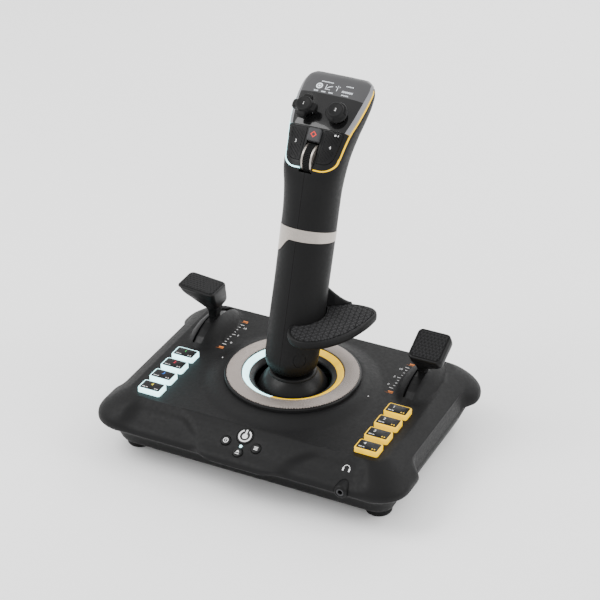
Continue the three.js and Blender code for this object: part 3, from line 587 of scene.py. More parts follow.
FACE_BUTTONS = {"home_button": (-0.9, -80.8, 6.7), "left_menu_button": (-14.2, -87.4, 4.0),
                "right_menu_button": (11.6, -87.4, 4.0), "lower_menu_button": (-1.2, -93.4, 4.0)}
LED = (-1.1, -88.4, 1.2)
JACK_LOW, JACK_HIGH = low_high("headset_jack")
JACK_X, JACK_Z = (JACK_LOW[0] + JACK_HIGH[0]) / 2, (JACK_LOW[2] + JACK_HIGH[2]) / 2


def key_names():
    return [(side, row, f"{name}_key_{row}") for name, side in SIDES for row in range(1, 5)]


def cover_holes():
    holes = [prism("well", circle(41, 160), 30, 60)]
    for _, side in SIDES:
        slot = rounded_rectangle(POD["slot_wide"], 2 * POD["slot_half"], 1.6, 5, side * POD["x"], POD["y"])
        holes.append(prism("slot", slot, 30, 70))
    for _, _, key in key_names():
        low, high = low_high(key)
        middle = (low + high) / 2
        outline = rounded_rectangle(high[0] - low[0] + 0.8, high[1] - low[1] + 0.8, 1.9, 5, middle[0], middle[1])
        holes.append(prism("key_hole", outline, 36, 60))
    for x, y, radius in FACE_BUTTONS.values():
        holes.append(prism("button_hole", circle(radius + 0.35, 48), -14, 8, slope_matrix(x, y)))
    holes.append(prism("led_hole", circle(LED[2] + 0.2, 20), -14, 8, slope_matrix(LED[0], LED[1])))
    facing = Matrix.Translation((JACK_X, -106, JACK_Z)) @ Matrix.Rotation(-math.pi / 2, 4, "X")
    holes.append(prism("jack_hole", circle(5.9, 48), 0, 22, facing))
    return holes


DRUM_ROOM = dict(radius=46.03, low=0.03, high=8.23, half=4.13)


def drum_reliefs():
    """Room inside the cover for the turning drums of the throttle arms."""
    axle = sum(low_high("throttle_axle_left")) / 2
    turn = Matrix.Rotation(math.pi / 2, 4, "Y")
    return [prism("drum_relief", circle(DRUM_ROOM["radius"], 144), DRUM_ROOM["low"], DRUM_ROOM["high"],
                  Matrix.Translation((side * POD["x"] - DRUM_ROOM["half"], POD["y"], axle[2])) @ turn)
            for _, side in SIDES]


def bottom_cover():
    levels = through(LOWER_LEVELS, 22)
    loops = [base_loop(level, 0, 24, 30, 8) for level in levels]
    loops += [base_loop(level, WALL, 24, 30, 8) for level in levels[::-1] if level[0] > WALL]
    cover = loft("bottom_cover", loops)
    holes = []
    for name in FEET:
        low, high = low_high(name)
        middle = (low + high) / 2
        holes.append(prism("foot_hole", circle((high[0] - low[0]) / 2 + 0.3, 64, middle[0], middle[1]), -1, 1))
    low, high = low_high("usb_socket")
    holes.append(prism("usb_hole", box_outline((low[0] + high[0]) / 2, high[1], high[0] - low[0] + 0.6, 20),
                       low[2] - 0.3, high[2] + 0.3))
    return cut(cover, joined("bottom_holes", holes))


def build_base():
    cover = top_cover()
    matrix = Matrix.Translation((84.7, -83, 39)) @ Matrix.Rotation(0.9, 4, "X")
    band = ring_parts(2.3, 2.75, -0.35, math.pi + 0.35)
    cups = [box_outline(-2.5, -1.0, 1.3, 2.4), box_outline(2.5, -1.0, 1.3, 2.4)]
    sign = flat_mark("headphone_mark", [*band, *cups], matrix, 0, 0.04)
    finish_piece(drape(sign, cover, matrix), "base", WHITE_INK)
    finish_piece(cover, "base", PLATE, ["base_top_cover"], angle=32)
    finish_piece(bottom_cover(), "base", PLASTIC, ["base_bottom_cover"], angle=50)
    for name in FEET:
        low, high = low_high(name)
        radius = (high[0] - low[0]) / 2
        profile = [(0.01, low[2]), (radius - 2.4, low[2]), (radius - 2.0, low[2] + 0.5), (radius - 1.4, low[2]),
                   (radius - 0.5, low[2] + 0.3), (radius, low[2] + 1.2), (radius, 0.6), (0.01, 0.6)]
        foot = turned(name + "_pad", profile, 64, ((low[0] + high[0]) / 2, (low[1] + high[1]) / 2))
        finish_piece(foot, "base", RUBBER, [name])


# ---------- ring, lights, funnel and sockets ----------
def build_ring():
    out, top, foot = RING_HIGH[0], RING_HIGH[2], RING_LOW[2]
    face_out = out - 1.4

    def teeth(angle, r):
        tooth = 0.3 * math.copysign(1, math.sin(angle * 150))
        return tooth if r < RING_IN + 1.0 or r > face_out - 0.6 else 0

    rim = turned("ring_rim", [(RING_IN, foot), (out, foot), (out, top - 1.4), (out - 0.5, top - 0.75),
                              (face_out - 0.1, top - 0.55), (RING_IN, top - 0.55)], 256)
    finish_piece(rim, "base", SATIN, ["ring_bezel"])
    profile = [(RING_IN + 0.5, top - 0.9), (face_out - 0.5, top - 0.9), (face_out - 0.5, top - 0.2),
               (face_out - 0.7, top), (RING_IN + 0.7, top), (RING_IN + 0.5, top - 0.2)]
    face = turned("ring_face", profile, 900, wobble=teeth)
    finish_piece(face, "base", RING_FACE, angle=50)
    guide = turned("guide", [(40.2, 52.5), (39.7, 52.7), (35.3, 50.3), (35.1, 49.9), (35.1, 48.4),
                             (40.2, 48.4)], 200)
    for name, side in SIDES:
        half = copy_of(guide)
        half.name = f"{name}_ring_light"
        keep = prism("half", rounded_rectangle(60, 120, 1, 1, side * 30.15, 0), 40, 60)
        cut(half, keep, operation="INTERSECT")
        finish_piece(half, "base", CYAN if side < 0 else AMBER, [f"light_ring_{name}"])
    bpy.data.objects.remove(guide)
    funnel = turned("funnel", [(34.8, 50.1), (34.2, 50.0), (31.4, 48.1), (30.6, 47.2), (30.2, 46.2), (31.2, 43),
                               (34, 40.6), (40.4, 40.6), (40.4, 48.1), (34.8, 48.1)], 160)
    finish_piece(funnel, "base", SATIN, ["well_funnel"])


def build_sockets():
    facing = Matrix.Translation((JACK_X, JACK_LOW[1], JACK_Z)) @ Matrix.Rotation(-math.pi / 2, 4, "X")
    boss = [(5.6, 11.5), (5.6, 2.4), (5.3, 1.1), (4.6, 0.35), (3.8, 0.0), (3.2, 0.15), (3.0, 0.8), (2.9, 1.0),
            (2.0, 1.0), (1.8, 1.2), (1.8, 10.5)]
    finish_piece(loft("jack_boss", round_loops(boss, facing, 64)), "base", PLASTIC, ["headset_jack"])
    collar = [(2.9, 0.9), (2.9, 0.2), (2.5, 0.1), (2.1, 0.3), (1.95, 0.9)]
    finish_piece(loft("jack_collar", round_loops(collar, facing), closed=True), "base", GREY)


# ---------- keys and face buttons ----------
def text_mesh(name, words, size, matrix, lift=0.05):
    """Flat printed characters, centred on the local frame."""
    curve = bpy.data.curves.new(name, "FONT")
    curve.body, curve.size = words, size
    curve.align_x = curve.align_y = "CENTER"
    curve.extrude = 0.02
    piece = bpy.data.objects.new(name, curve)
    bpy.context.scene.collection.objects.link(piece)
    mesh = bpy.data.meshes.new_from_object(piece.evaluated_get(bpy.context.evaluated_depsgraph_get()))
    bpy.data.objects.remove(piece)
    scale = Matrix.Scale(MM, 4)
    mesh.transform(scale @ matrix @ Matrix.Translation((0, 0, lift)))
    return link(name, mesh)


def flat_mark(name, outlines, matrix, lift=0.03, thick=0.04):
    """Printed shapes: thin solids just above a surface."""
    return joined(name, [prism("mark", outline, lift, lift + thick, matrix) for outline in outlines])


def drape(mark, surface, matrix, lift=0.06):
    """Lays a flat printed mark on a curved surface, along the local Z of a frame."""
    inverse = surface.matrix_world.inverted()
    down = (matrix.to_3x3() @ Vector((0, 0, -1))).normalized()
    for vertex in mark.data.vertices:
        start = vertex.co - down * 0.02
        hit, place, _, _ = surface.ray_cast(inverse @ start, inverse.to_3x3() @ down)
        if hit:
            local = (matrix.inverted() @ (vertex.co / MM)).z
            vertex.co = place - down * (lift + max(local, 0) * 0.5) * MM
    return mark


def box_outline(x, y, wide, deep):
    return [(x - wide / 2, y - deep / 2), (x + wide / 2, y - deep / 2), (x + wide / 2, y + deep / 2),
            (x - wide / 2, y + deep / 2)]


def ring_parts(inner, outer, start=0.0, end=TAU, count=28, x=0, y=0):
    """A ring, or part of one, as a row of small four-sided outlines."""
    parts = []
    for i in range(count):
        a, b = start + (end - start) * i / count, start + (end - start) * (i + 1) / count
        parts.append([(x + r * math.cos(t), y + r * math.sin(t))
                      for r, t in ((inner, a), (outer, a), (outer, b), (inner, b))])
    return parts


KEY_COLOURS = ((0.05, 0.6, 0.12), (0.75, 0.03, 0.08), (0.03, 0.22, 0.85), (0.85, 0.7, 0.03))


def build_key(side, row, key):
    low, high = low_high(key)
    middle = (low + high) / 2
    wide, deep = high[0] - low[0], high[1] - low[1]
    steps = [(0, low[2]), (0, high[2] - 0.9), (0.12, high[2] - 0.4), (0.4, high[2] - 0.12), (0.75, high[2])]
    steps += [(1.0, high[2]), (1.05, high[2] - 0.25)]
    loops = [[(x, y, z) for x, y in rounded_rectangle(wide - 2 * inset, deep - 2 * inset, 1.6 - inset * 0.6, 6,
                                                      middle[0], middle[1])] for inset, z in steps]
    glow = CYAN if side < 0 else AMBER
    finish_piece(loft(f"{key}_light_body", loops), key, glow, [key], angle=50)
    steps = [(1.15, high[2] - 0.2), (1.15, high[2] + 0.02), (1.35, high[2] + 0.1)]
    loops = [[(x, y, z) for x, y in rounded_rectangle(wide - 2 * inset, deep - 2 * inset, 0.9, 5,
                                                      middle[0], middle[1])] for inset, z in steps]
    finish_piece(loft(f"{key}_cap", loops), key, DARK)
    top = Matrix.Translation((middle[0], middle[1], high[2] + 0.1))
    ink = printed(f"{key}_ink", "matte_black_plastic", KEY_COLOURS[row - 1], 0.25) if side < 0 else WHITE_INK
    place = top @ Matrix.Translation((-0.5 if side < 0 else -3.8, 1.6, 0))
    digit = text_mesh(f"{key}_digit", str(row), 4.2, place)
    finish_piece(digit, key, ink)
    dots = [circle(0.55, 16, 4.3, -3.2), circle(0.55, 16, 6.2, -3.2)]
    marks = flat_mark(f"{key}_dots", dots, top)
    finish_piece(marks, key, WHITE_INK if side < 0 else AMBER)
    bar = flat_mark(f"{key}_bar", [box_outline(-5.6, -3.2, 2.6, 0.7), box_outline(-2.9, -3.2, 1.4, 0.7)], top)
    finish_piece(bar, key, WHITE_INK)


def dome_loops(radius, matrix, bottom, top):
    profile = [(radius, bottom), (radius, top - 0.7), (radius - 0.12, top - 0.35), (radius - 0.4, top - 0.1),
               (radius - 0.9, top), (radius * 0.55, top - 0.12), (radius * 0.2, top - 0.2)]
    return round_loops(profile, matrix)


def build_face_buttons():
    for name, (x, y, radius) in FACE_BUTTONS.items():
        matrix = slope_matrix(x, y)
        cap = loft(f"{name}_cap", dome_loops(radius, matrix, -4.4, 1.05))
        finish_piece(cap, name, SATIN if radius > 5 else DARK, [name], angle=60)
        top = matrix @ Matrix.Translation((0, 0, 0.95))
        if radius > 5:
            outlines = [*ring_parts(4.1, 5.7, 0.5 + math.pi / 2, TAU - 0.5 + math.pi / 2, 40),
                        box_outline(0, 3.6, 1.4, 4.4), circle(2.2, 24, 0, -0.4)]
        elif name == "left_menu_button":
            outlines = [*ring_parts(1.5, 2.1), box_outline(0, 0.2, 0.6, 1.6)]
        elif name == "right_menu_button":
            outlines = [box_outline(0, d, 3.2, 0.55) for d in (-1.1, 0, 1.1)]
        else:
            outlines = [box_outline(0, -1.3, 3.2, 0.6), [(-1.5, 0), (1.5, 0), (0, 1.9)]]
        finish_piece(flat_mark(f"{name}_mark", outlines, top @ Matrix.Rotation(math.pi, 4, "Z")), name, WHITE_INK)
    matrix = slope_matrix(LED[0], LED[1])
    led = loft("led_lens", dome_loops(LED[2], matrix, -2.8, 0.3))
    finish_piece(led, "base", CYAN, ["status_led"])


def build_plate_marks():
    """Throttle scales with their numbers and end wedges, and small position dots."""
    for name, side in SIDES:
        origin = Matrix.Translation((side * 75.2, 0, PLATE_Z))
        ticks = [box_outline(side * (0.0 if i % 4 else -0.9), 24 + i * 4.05, 1.8 if i % 4 else 3.4, 0.55)
                 for i in range(9)]
        ticks += [circle(0.6, 12, side * 4.4, 23.4), circle(0.6, 12, side * 4.4, 57.2)]
        finish_piece(flat_mark(f"{name}_throttle_scale", ticks, origin), "base", WHITE_INK)
        for label, y in (("0", 28), ("5", 40.2), ("10", 52.4)):
            text = text_mesh(f"{name}_scale_{label}", label, 3.2, origin @ Matrix.Translation((-side * 5, y, 0)))
            finish_piece(text, "base", WHITE_INK)
        for end, y in (("low", 18.6), ("high", 62)):
            wedge = [[(-3.6, y - 1.6), (3.2, y - 1.6), (3.2, y - 1.0)], box_outline(0.8, y + 0.4, 4.2, 1.2)]
            finish_piece(flat_mark(f"{name}_{end}_wedge", wedge, origin), "base", ORANGE_INK)
        dots = [circle(0.7, 16, side * 64.2, 2.1), circle(0.8, 16, side * 93.6, 6.7)]
        plate = Matrix.Translation((0, 0, PLATE_Z))
        mound = Matrix.Translation((0, 0, plate_height(64.2, 2.1)))
        finish_piece(flat_mark(f"{name}_ring_dot", dots[:1], mound, 0.05), "base", WHITE_INK)
        finish_piece(flat_mark(f"{name}_key_dot", dots[1:], plate), "base", WHITE_INK)


# ---------- stick ball and neck ----------
def build_neck():
    radius = 30.7
    polar = [math.radians(38 + 32 * i / 24) for i in range(25)]
    outer = [(radius * math.sin(a), PIVOT[2] + radius * math.cos(a)) for a in polar]
    inner = [((radius - 1.5) * math.sin(a), PIVOT[2] + (radius - 1.5) * math.cos(a)) for a in reversed(polar)]
    finish_piece(turned("ball_cover", outer + inner, 160), "roll_cradle", SATIN, ["dust_dome"])
    collar = [(12.2, 53), (17.8, 53), (17.8, 54.2), (19.0, 54.2), (19.2, 54.5), (18.9, 55.6), (18.2, 56.2),
              (17.4, 56.4), (12.2, 56.4)]
    finish_piece(turned("ball_collar", collar, 128), "roll_cradle", DARK, ["dome_collar"])
    neck = [(7.4, 41), (10.6, 41), (11.9, 43), (11.9, 62), (9.6, 64), (9.6, 82), (7.4, 82)]
    finish_piece(turned("neck_sleeve", neck, 96), "grip", DARK, ["neck_tube"])


# ---------- grip ----------
# Stations up the grip: front y, front z, back y, back z, half width, place of the widest line between
# them, squareness of the front and of the back.
GRIP_STATIONS = np.array([
    (-12.6, 57.2, 12.6, 57.2, 12.6, 0.5, 2, 2), (-17.3, 58.6, 16.3, 58.6, 16.8, 0.5, 2, 2),
    (-21.3, 63, 18.6, 61.5, 19.8, 0.5, 2, 2), (-23.3, 70, 19.6, 66, 20.9, 0.5, 2, 2),
    (-19.4, 85.3, 21.9, 73.1, 21.4, 0.5, 2, 2), (-4, 137.7, 37.8, 125.4, 21.5, 0.5, 2, 2),
    (6, 171.7, 48, 159.4, 21.7, 0.5, 2, 2), (12.5, 194, 53.8, 181.8, 21.9, 0.5, 2.1, 2),
    (16.5, 207.5, 57, 195.5, 22.6, 0.48, 2.3, 2), (20.8, 220.5, 60.6, 206, 23.8, 0.46, 2.8, 2),
    (31.6, 234.4, 66, 218, 25, 0.42, 3.2, 2.1), (42.4, 248.3, 73.5, 229.5, 27.4, 0.4, 3.3, 2.1),
    (54, 257, 81, 240.5, 29.4, 0.4, 3.3, 2.1), (68, 266, 88, 251, 30, 0.42, 3.4, 2.2),
    (77.5, 271, 91.5, 259, 28.8, 0.44, 3.4, 2.4), (82.5, 273.2, 92.3, 265.5, 26, 0.46, 3.2, 2.6),
    (86.5, 273.4, 91, 270, 22, 0.5, 3, 3)])
FACE_ROW = 9
TOP_LIMIT = low_high("display_cover")[1]


def section(row, inset, count, end=0.0):
    fy, fz, by, bz, half, mid, front_square, back_square = row
    front, depth = np.array((fy, fz)), np.array((by - fy, bz - fz))
    length = np.linalg.norm(depth)
    along = depth / length
    up = np.array((-along[1], along[0]))
    room = max(length - 2 * inset, 0.6)
    points = []
    for i in range(count):
        angle = TAU * i / count
        c, s = math.cos(angle), math.sin(angle)
        power = 2 / (front_square if s < 0 else back_square)
        reach = math.copysign(abs(s) ** power, s)
        d = inset + room * (mid + reach * (mid if reach < 0 else 1 - mid))
        y, z = front + along * min(d, length) + up * end
        points.append(((half - inset) * math.copysign(abs(c) ** power, c), y, z))
    return points


def grip_form(name, inset=0.0, count=96, rows=110):
    table = through(GRIP_STATIONS, rows)
    table[:, 6:] = np.maximum(table[:, 6:], 2)
    loops = [section(row, inset, count, inset if i == 0 else -inset if i == rows - 1 else 0)
             for i, row in enumerate(table)]
    if inset == 0:
        loops = [[(x, min(y, TOP_LIMIT[1]), min(z, TOP_LIMIT[2])) for x, y, z in loop] for loop in loops]
    return loft(name, loops)


def face_line(count=40):
    return through(GRIP_STATIONS[FACE_ROW:], count)[:, :2]


def face_region(name, depth, below):
    """Everything in front of the control face's line, moved in by a depth."""
    line = face_line()
    along = np.gradient(line, axis=0)
    along /= np.linalg.norm(along, axis=1)[:, None]
    inward = np.stack([along[:, 1], -along[:, 0]], axis=1)
    inner, outer = line + inward * depth, line - inward * 30
    foot, head = -along[0] * below, along[-1] * 30
    inner[0] += foot
    outer[0] += foot
    outline = [*inner, inner[-1] + head, outer[-1] + head, *outer[::-1]]
    return flat_ended(name, [[(x, y, z) for y, z in outline] for x in (-45, 45)])


def face_matrix(low, high):
    """Local X across, local Y up the face, local Z out of it, between two stations."""
    p, q = Vector(GRIP_STATIONS[low][:2]), Vector(GRIP_STATIONS[high][:2])
    d = (q - p).normalized()
    matrix = Matrix(((1, 0, 0), (0, d.x, d.y), (0, -d.y, d.x))).transposed().to_4x4()
    matrix.translation = Vector((0, p.x, p.y))
    return matrix


PANEL, HATS = face_matrix(9, 11), face_matrix(11, 13)
PANEL_LENGTH = 35.2
FACE = dict(foot=3.4, half=21.4, corner=11.5)
WHEEL_SLOT = 5.4
CENTRE = dict(low=23.9, high=34.2, half=5)
HAT = dict(x=13.3, y=12, hole=5.6, rise=5, top=12)
BAND = dict(top=103.6, bottom=98.8, drop=23)
LEAN = math.radians(16.4)
GRIP_FOOT = np.array((0, -2.65, 71.3))
GRIP_UP = np.array((0, math.sin(LEAN), math.cos(LEAN)))
GRIP_BACK = np.array((0, math.cos(LEAN), -math.sin(LEAN)))


def band_region(name, grow):
    """The space between the band's lower and upper edges; the lower one drops on the left."""
    loops = []
    for end in (-1, 1):
        loop = []
        for i in range(160):
            angle = TAU * i / 160
            leftness = smooth((-math.sin(angle) - 0.25) / 0.62)
            height = (BAND["bottom"] - BAND["drop"] * leftness - grow if end < 0
                      else BAND["top"] + 2.2 * math.cos(angle) + grow)
            loop.append(GRIP_FOOT + GRIP_UP * height + np.array((40 * math.sin(angle), 0, 0))
                        - GRIP_BACK * 40 * math.cos(angle))
        loops.append(loop)
    return loft(name, loops)


def block(name, low, high, matrix=None):
    """A block between two corners of a local frame."""
    (x0, y0, z0), (x1, y1, z1) = low, high
    return prism(name, [(x0, y0), (x1, y0), (x1, y1), (x0, y1)], z0, z1, matrix)


def wheel_slot():
    return block("wheel_slot", (-WHEEL_SLOT, -0.6, -19.6), (WHEEL_SLOT, 24.3, 12), PANEL)


def face_outline(grow):
    """The control face seen square on, grown by an amount: a U that is open towards the top."""
    foot, half, corner = FACE["foot"], FACE["half"], FACE["corner"]
    right = []
    for i in range(25):
        angle = i / 24 * math.pi / 2
        right.append((half - corner + (corner + grow) * math.sin(angle),
                      foot + corner - (corner + grow) * math.cos(angle)))
    right += [(half + 2.6 + grow, 20), (50, 30), (50, 90)]
    return right + [(-x, y) for x, y in reversed(right)]


def face_room(name, depth, grow):
    return cut(face_region(name, depth, 4), prism("face_u", face_outline(grow), -30, 40, PANEL),
               operation="INTERSECT")


def screw_groove():
    """A thin round groove: the cover of the grip's clamping screw."""
    out = Vector((0.62, -0.76, -0.18)).normalized()
    matrix = out.to_track_quat("Z", "Y").to_matrix().to_4x4()
    matrix.translation = Vector((13.2, -15.9, 76.3))
    profile = [(4.9, -0.9), (4.9, 3), (5.25, 3), (5.25, -0.9)]
    return loft("screw_groove", round_loops(profile, matrix), closed=True)


def grip_shells():
    keeps = ((-60, -100, 0), (-0.12, 150, 320)), ((0.12, -100, 0), (60, 150, 320))
    for (name, side), keep in zip(SIDES, keeps):
        half = cut(grip_form(f"{name}_grip_half"), block("half", *keep), operation="INTERSECT")
        cut(half, grip_form("grip_core", WALL, 64, 60), prism("neck_hole", circle(12.2, 64), 40, 70))
        cut(half, face_room("face_gap", 6.5, 1.4))
        groove = cut(grip_form("groove", -1, 64, 60), grip_form("groove_core", 1.2, 64, 60))
        cut(half, cut(groove, band_region("groove_span", 0.25), operation="INTERSECT"))
        cut(half, wheel_slot(), block("trigger_slot", (-6, 52, 204.6), (6, 88, 228.6)))
        if side > 0:
            cut(half, screw_groove())
        finish_piece(half, "grip", PLASTIC, [f"grip_shell_{name}"], angle=32)
    band = cut(grip_form("silver_band", -0.22, 128, 110), grip_form("band_core", 0.9, 64, 60))
    cut(band, band_region("band_span", 0), operation="INTERSECT")
    finish_piece(band, "grip", SILVER, ["grip_band"], angle=40)


# ---------- control head ----------
def button_outline(side, grow=0.0):
    """A thumb button seen square on: straight inside, swept in at its lower outer corner."""
    outline = [(7.4 - grow, 33.8 + grow), (21.8 + grow, 33.8 + grow), (20.9 + grow, 27), (19.9 + grow, 20.5),
               (19.2 + grow, 16.4), (18.2 + grow, 13 - grow), (16.7 + grow, 10.6 - grow),
               (14.7 + grow, 9.1 - grow), (12.2 + grow, 8.3 - grow), (7.4 - grow, 8.2 - grow)]
    return [(side * x, y) for x, y in outline]


def build_head():
    plate = cut(grip_form("plate_whole"), face_room("plate_room", 5, 0), operation="INTERSECT")
    cut(plate, wheel_slot())
    lower = copy_of(plate)
    lower.name = "button_frame"
    cut(lower, block("low_part", (-50, -60, -90), (50, PANEL_LENGTH - 0.15, 90), PANEL), operation="INTERSECT")
    cut(lower, block("centre_hole", (-CENTRE["half"] - 0.4, CENTRE["low"] - 2, -20),
                     (CENTRE["half"] + 0.4, CENTRE["high"] + 0.3, 20), PANEL),
        *[prism("thumb_hole", button_outline(side, 0.3), -20, 20, PANEL) for _, side in SIDES])
    finish_piece(lower, "grip", SATIN, ["face_plate"], bevel=0.2)
    cut(plate, block("top_part", (-50, PANEL_LENGTH + 0.15, -90), (50, 140, 90), PANEL), operation="INTERSECT")
    cut(plate, *[prism("hat_hole", circle(HAT["hole"], 64, side * HAT["x"], HAT["y"]), -14, 10, HATS)
                 for _, side in SIDES])
    side_band = copy_of(plate)
    side_band.name = "side_trim"
    cut(plate, face_region("screen_room", 2.6, 60), operation="INTERSECT")
    cut(side_band, face_region("screen_room", 2.62, 60))
    glass = copy_of(plate)
    glass.name = "screen_glass"
    cut(plate, block("glass_room", (-60, 29.5, -60), (60, 90, 60), HATS))
    cut(glass, block("glass_room", (-60, 29.52, -60), (60, 90, 60), HATS), operation="INTERSECT")
    plate.name = "screen_cover"
    finish_piece(plate, "grip", GLOSS, ["display_cover"], bevel=0.12)
    finish_piece(glass, "grip", GLASS, bevel=0.12)
    finish_piece(side_band, "grip", SIDE_GREY, bevel=0.15)
    build_screen_marks(plate, glass)
    build_light_strips()
    build_thumb_buttons()


def build_light_strips():
    edge = WHEEL_SLOT + 0.4
    keeps = ((-60, 0, 100), (-edge, 83, 320)), ((edge, 0, 100), (60, 83, 320))
    for (name, side), keep in zip(SIDES, keeps):
        strip = cut(grip_form(f"{name}_head_light"), block("half", *keep), operation="INTERSECT")
        cut(strip, face_room("rim_room", 6.3, 1.2), operation="INTERSECT")
        cut(strip, grip_form("rim_core", 2.2, 64, 60))
        cut(strip, face_room("rim_inside", 5.3, 0.3))
        finish_piece(strip, "grip", CYAN if side < 0 else AMBER, [f"light_strip_{name}"])


def build_thumb_buttons():
    for name, side in SIDES:
        button = prism(f"{name}_thumb_key", button_outline(side), -4.2, 10, PANEL)
        cut(button, grip_form("button_form", -0.3), operation="INTERSECT")
        ridges = []
        for i in range(13):
            turn = PANEL @ Matrix.Translation((side * 14, 3 + i * 2.6, 0)) @ Matrix.Rotation(-0.72, 4, "Z")
            ridges.append(block("groove", (-12, -0.36, -6), (12, 0.36, 8), turn))
        shell = cut(grip_form("groove_skin", -0.6), grip_form("groove_floor", 0.12))
        grooves = cut(joined("ridge_grooves", ridges), shell, operation="INTERSECT")
        label = block("label_pad", (side * 14.4 - 4.6, 19.5, -9), (side * 14.4 + 4.6, 24.5, 9), PANEL)
        border = prism("border", button_outline(side, -1.4), -9, 9, PANEL)
        cut(grooves, label)
        cut(grooves, border, operation="INTERSECT")
        cut(button, grooves)
        finish_piece(button, f"thumb_button_{name}", PLASTIC, [f"thumb_button_{name}"], bevel=0.18)
        place = PANEL @ Matrix.Translation((side * 14.4, 22, 0))
        label = drape(text_mesh(f"{name}_thumb_mark", "3" if side < 0 else "4", 3.4, place), button, PANEL)
        finish_piece(label, f"thumb_button_{name}", WHITE_INK)


def build_centre_button():
    middle = (CENTRE["low"] + CENTRE["high"]) / 2
    outline = rounded_rectangle(2 * CENTRE["half"], CENTRE["high"] - CENTRE["low"], 1.4, 5, 0, middle)
    levels = [(0, -3), (0, 2.6), (0.2, 3.2), (0.6, 3.55), (1.2, 3.6)]
    centre = np.mean(outline, axis=0)
    loops = []
    for inset, z in levels:
        shrink = 1 - inset / 5
        loops.append([PANEL @ Vector((*(centre + (np.array(p) - centre) * shrink), z)) for p in outline])
    finish_piece(loft("square_button", loops), "centre_button", GREY, ["centre_button"], angle=50)
    top = PANEL @ Matrix.Translation((0, middle, 3.6)) @ Matrix.Rotation(math.pi / 4, 4, "Z")
    # painted light: the red mark glows faintly in its own colour, though the button has no light inside
    red = printed("red_ink", "dark_grey_plastic", (0.75, 0.04, 0.03), 0.2)
    outlines = [box_outline(0, 1.5, 3.6, 0.6), box_outline(0, -1.5, 3.6, 0.6), box_outline(1.5, 0, 0.6, 2.4),
                box_outline(-1.5, 0, 0.6, 2.4)]
    finish_piece(flat_mark("diamond_mark", outlines, top), "centre_button", red)


def wheel_loops(profile, count, bump=None):
    """An [x, radius] profile turned about the wheel's axle."""
    loops = []
    for i in range(count):
        angle = TAU * i / count
        loops.append([(x, WHEEL_AT[1] + (r + (bump(angle, x, r) if bump else 0)) * math.cos(angle),
                       WHEEL_AT[2] + (r + (bump(angle, x, r) if bump else 0)) * math.sin(angle))
                      for x, r in profile])
    return loops


def build_trim_wheel():
    def tread(angle, x, r):
        wave = math.sin(angle * 40 + x * 2.4)
        return -0.5 if r > 11 and wave > 0.2 else 0

    xs = np.linspace(-2.6, 2.6, 15)
    profile = [(-2.6, 7.8), *[(x, 11.9 - 0.12 * (abs(x) / 2.6) ** 6) for x in xs], (2.6, 7.8)]
    tyre = loft("wheel_tyre", wheel_loops(profile, 400, tread), closed=True)
    finish_piece(tyre, "trim_wheel", RUBBER, ["trim_wheel_tyre"], angle=30)
    rim = [(2.9, 7), (2.9, 11.4), (3.15, 11.6), (4.0, 11.6), (4.35, 11.3), (4.4, 10.6), (4.2, 9.4), (4.2, 2),
           (2.9, 2)]
    rims = []
    for side in (-1, 1):
        profile = [(side * x, r) for x, r in rim]
        rims.append(loft("rim", wheel_loops(profile, 128), closed=True))
    rims.append(loft("hub", wheel_loops([(-3.4, 1.8), (-3.4, 7.4), (3.4, 7.4), (3.4, 1.8)], 96), closed=True))
    finish_piece(joined("wheel_rims", rims), "trim_wheel", SILVER, ["trim_wheel_hub"])


def hat_matrix(side):
    return HATS @ Matrix.Translation((side * HAT["x"], HAT["y"], 0))


def petal_outline(count=160):
    """A cross with four broad round-cornered arms."""
    points = []
    for i in range(count):
        angle = TAU * i / count
        arm = 0.5 + 0.5 * math.cos(4 * angle)
        points.append((6.9 + 3.1 * float(smooth(arm * 1.9 - 0.35)), angle))
    return points


def build_hats():
    rise, top = HAT["rise"], HAT["top"]
    left, right = hat_matrix(-1), hat_matrix(1)
    levels = [(0.82, rise), (0.95, rise + 0.3), (1.0, rise + 1.2), (1.0, top - 3.2), (0.97, top - 2.5),
              (0.9, top - 2)]
    loops = [[left @ Vector((r * k * math.cos(a), r * k * math.sin(a), z)) for r, a in petal_outline()]
             for k, z in levels]
    loops += [[left @ Vector((r * math.cos(a), r * math.sin(a), z)) for _, a in petal_outline()]
              for r, z in ((6.5, top - 1.7), (6.3, top - 0.7), (5.7, top), (4.8, top - 0.1), (1.5, top - 0.5))]
    stem = prism("stem", circle(3, 32), -6, rise + 1, left)
    finish_piece(joined("cross_hat", [loft("cross", loops), stem]), "hat_left", PLASTIC, ["hat_left"], angle=60)
    loops = []
    for r, z in ((7.2, rise), (8.2, rise + 0.3), (8.6, rise + 1.2), (8.6, top - 3.2), (8.2, top - 2.5),
                 (7.4, top - 2.1), (6.7, top - 1.9), (6.4, top - 0.7), (5.8, top), (4.9, top - 0.1),
                 (1.5, top - 0.4)):
        loop = []
        for i in range(160):
            angle = TAU * i / 160
            notched = -0.95 < math.remainder(angle + 0.6, TAU) < 0.5 and r > 6.8 and z > top - 4
            loop.append(right @ Vector((r * math.cos(angle), r * math.sin(angle), z - 1.6 * notched)))
        loops.append(loop)
    stem = prism("stem", circle(3, 32), -6, rise + 1, right)
    finish_piece(joined("round_hat", [loft("round", loops), stem]), "hat_right", PLASTIC, ["hat_right"], angle=60)
    for name, side in SIDES:
        place = hat_matrix(side) @ Matrix.Translation((0, 0, top - 0.42))
        finish_piece(text_mesh(f"{name}_hat_mark", "1" if side < 0 else "2", 3.6, place), f"hat_{name}", WHITE_INK)


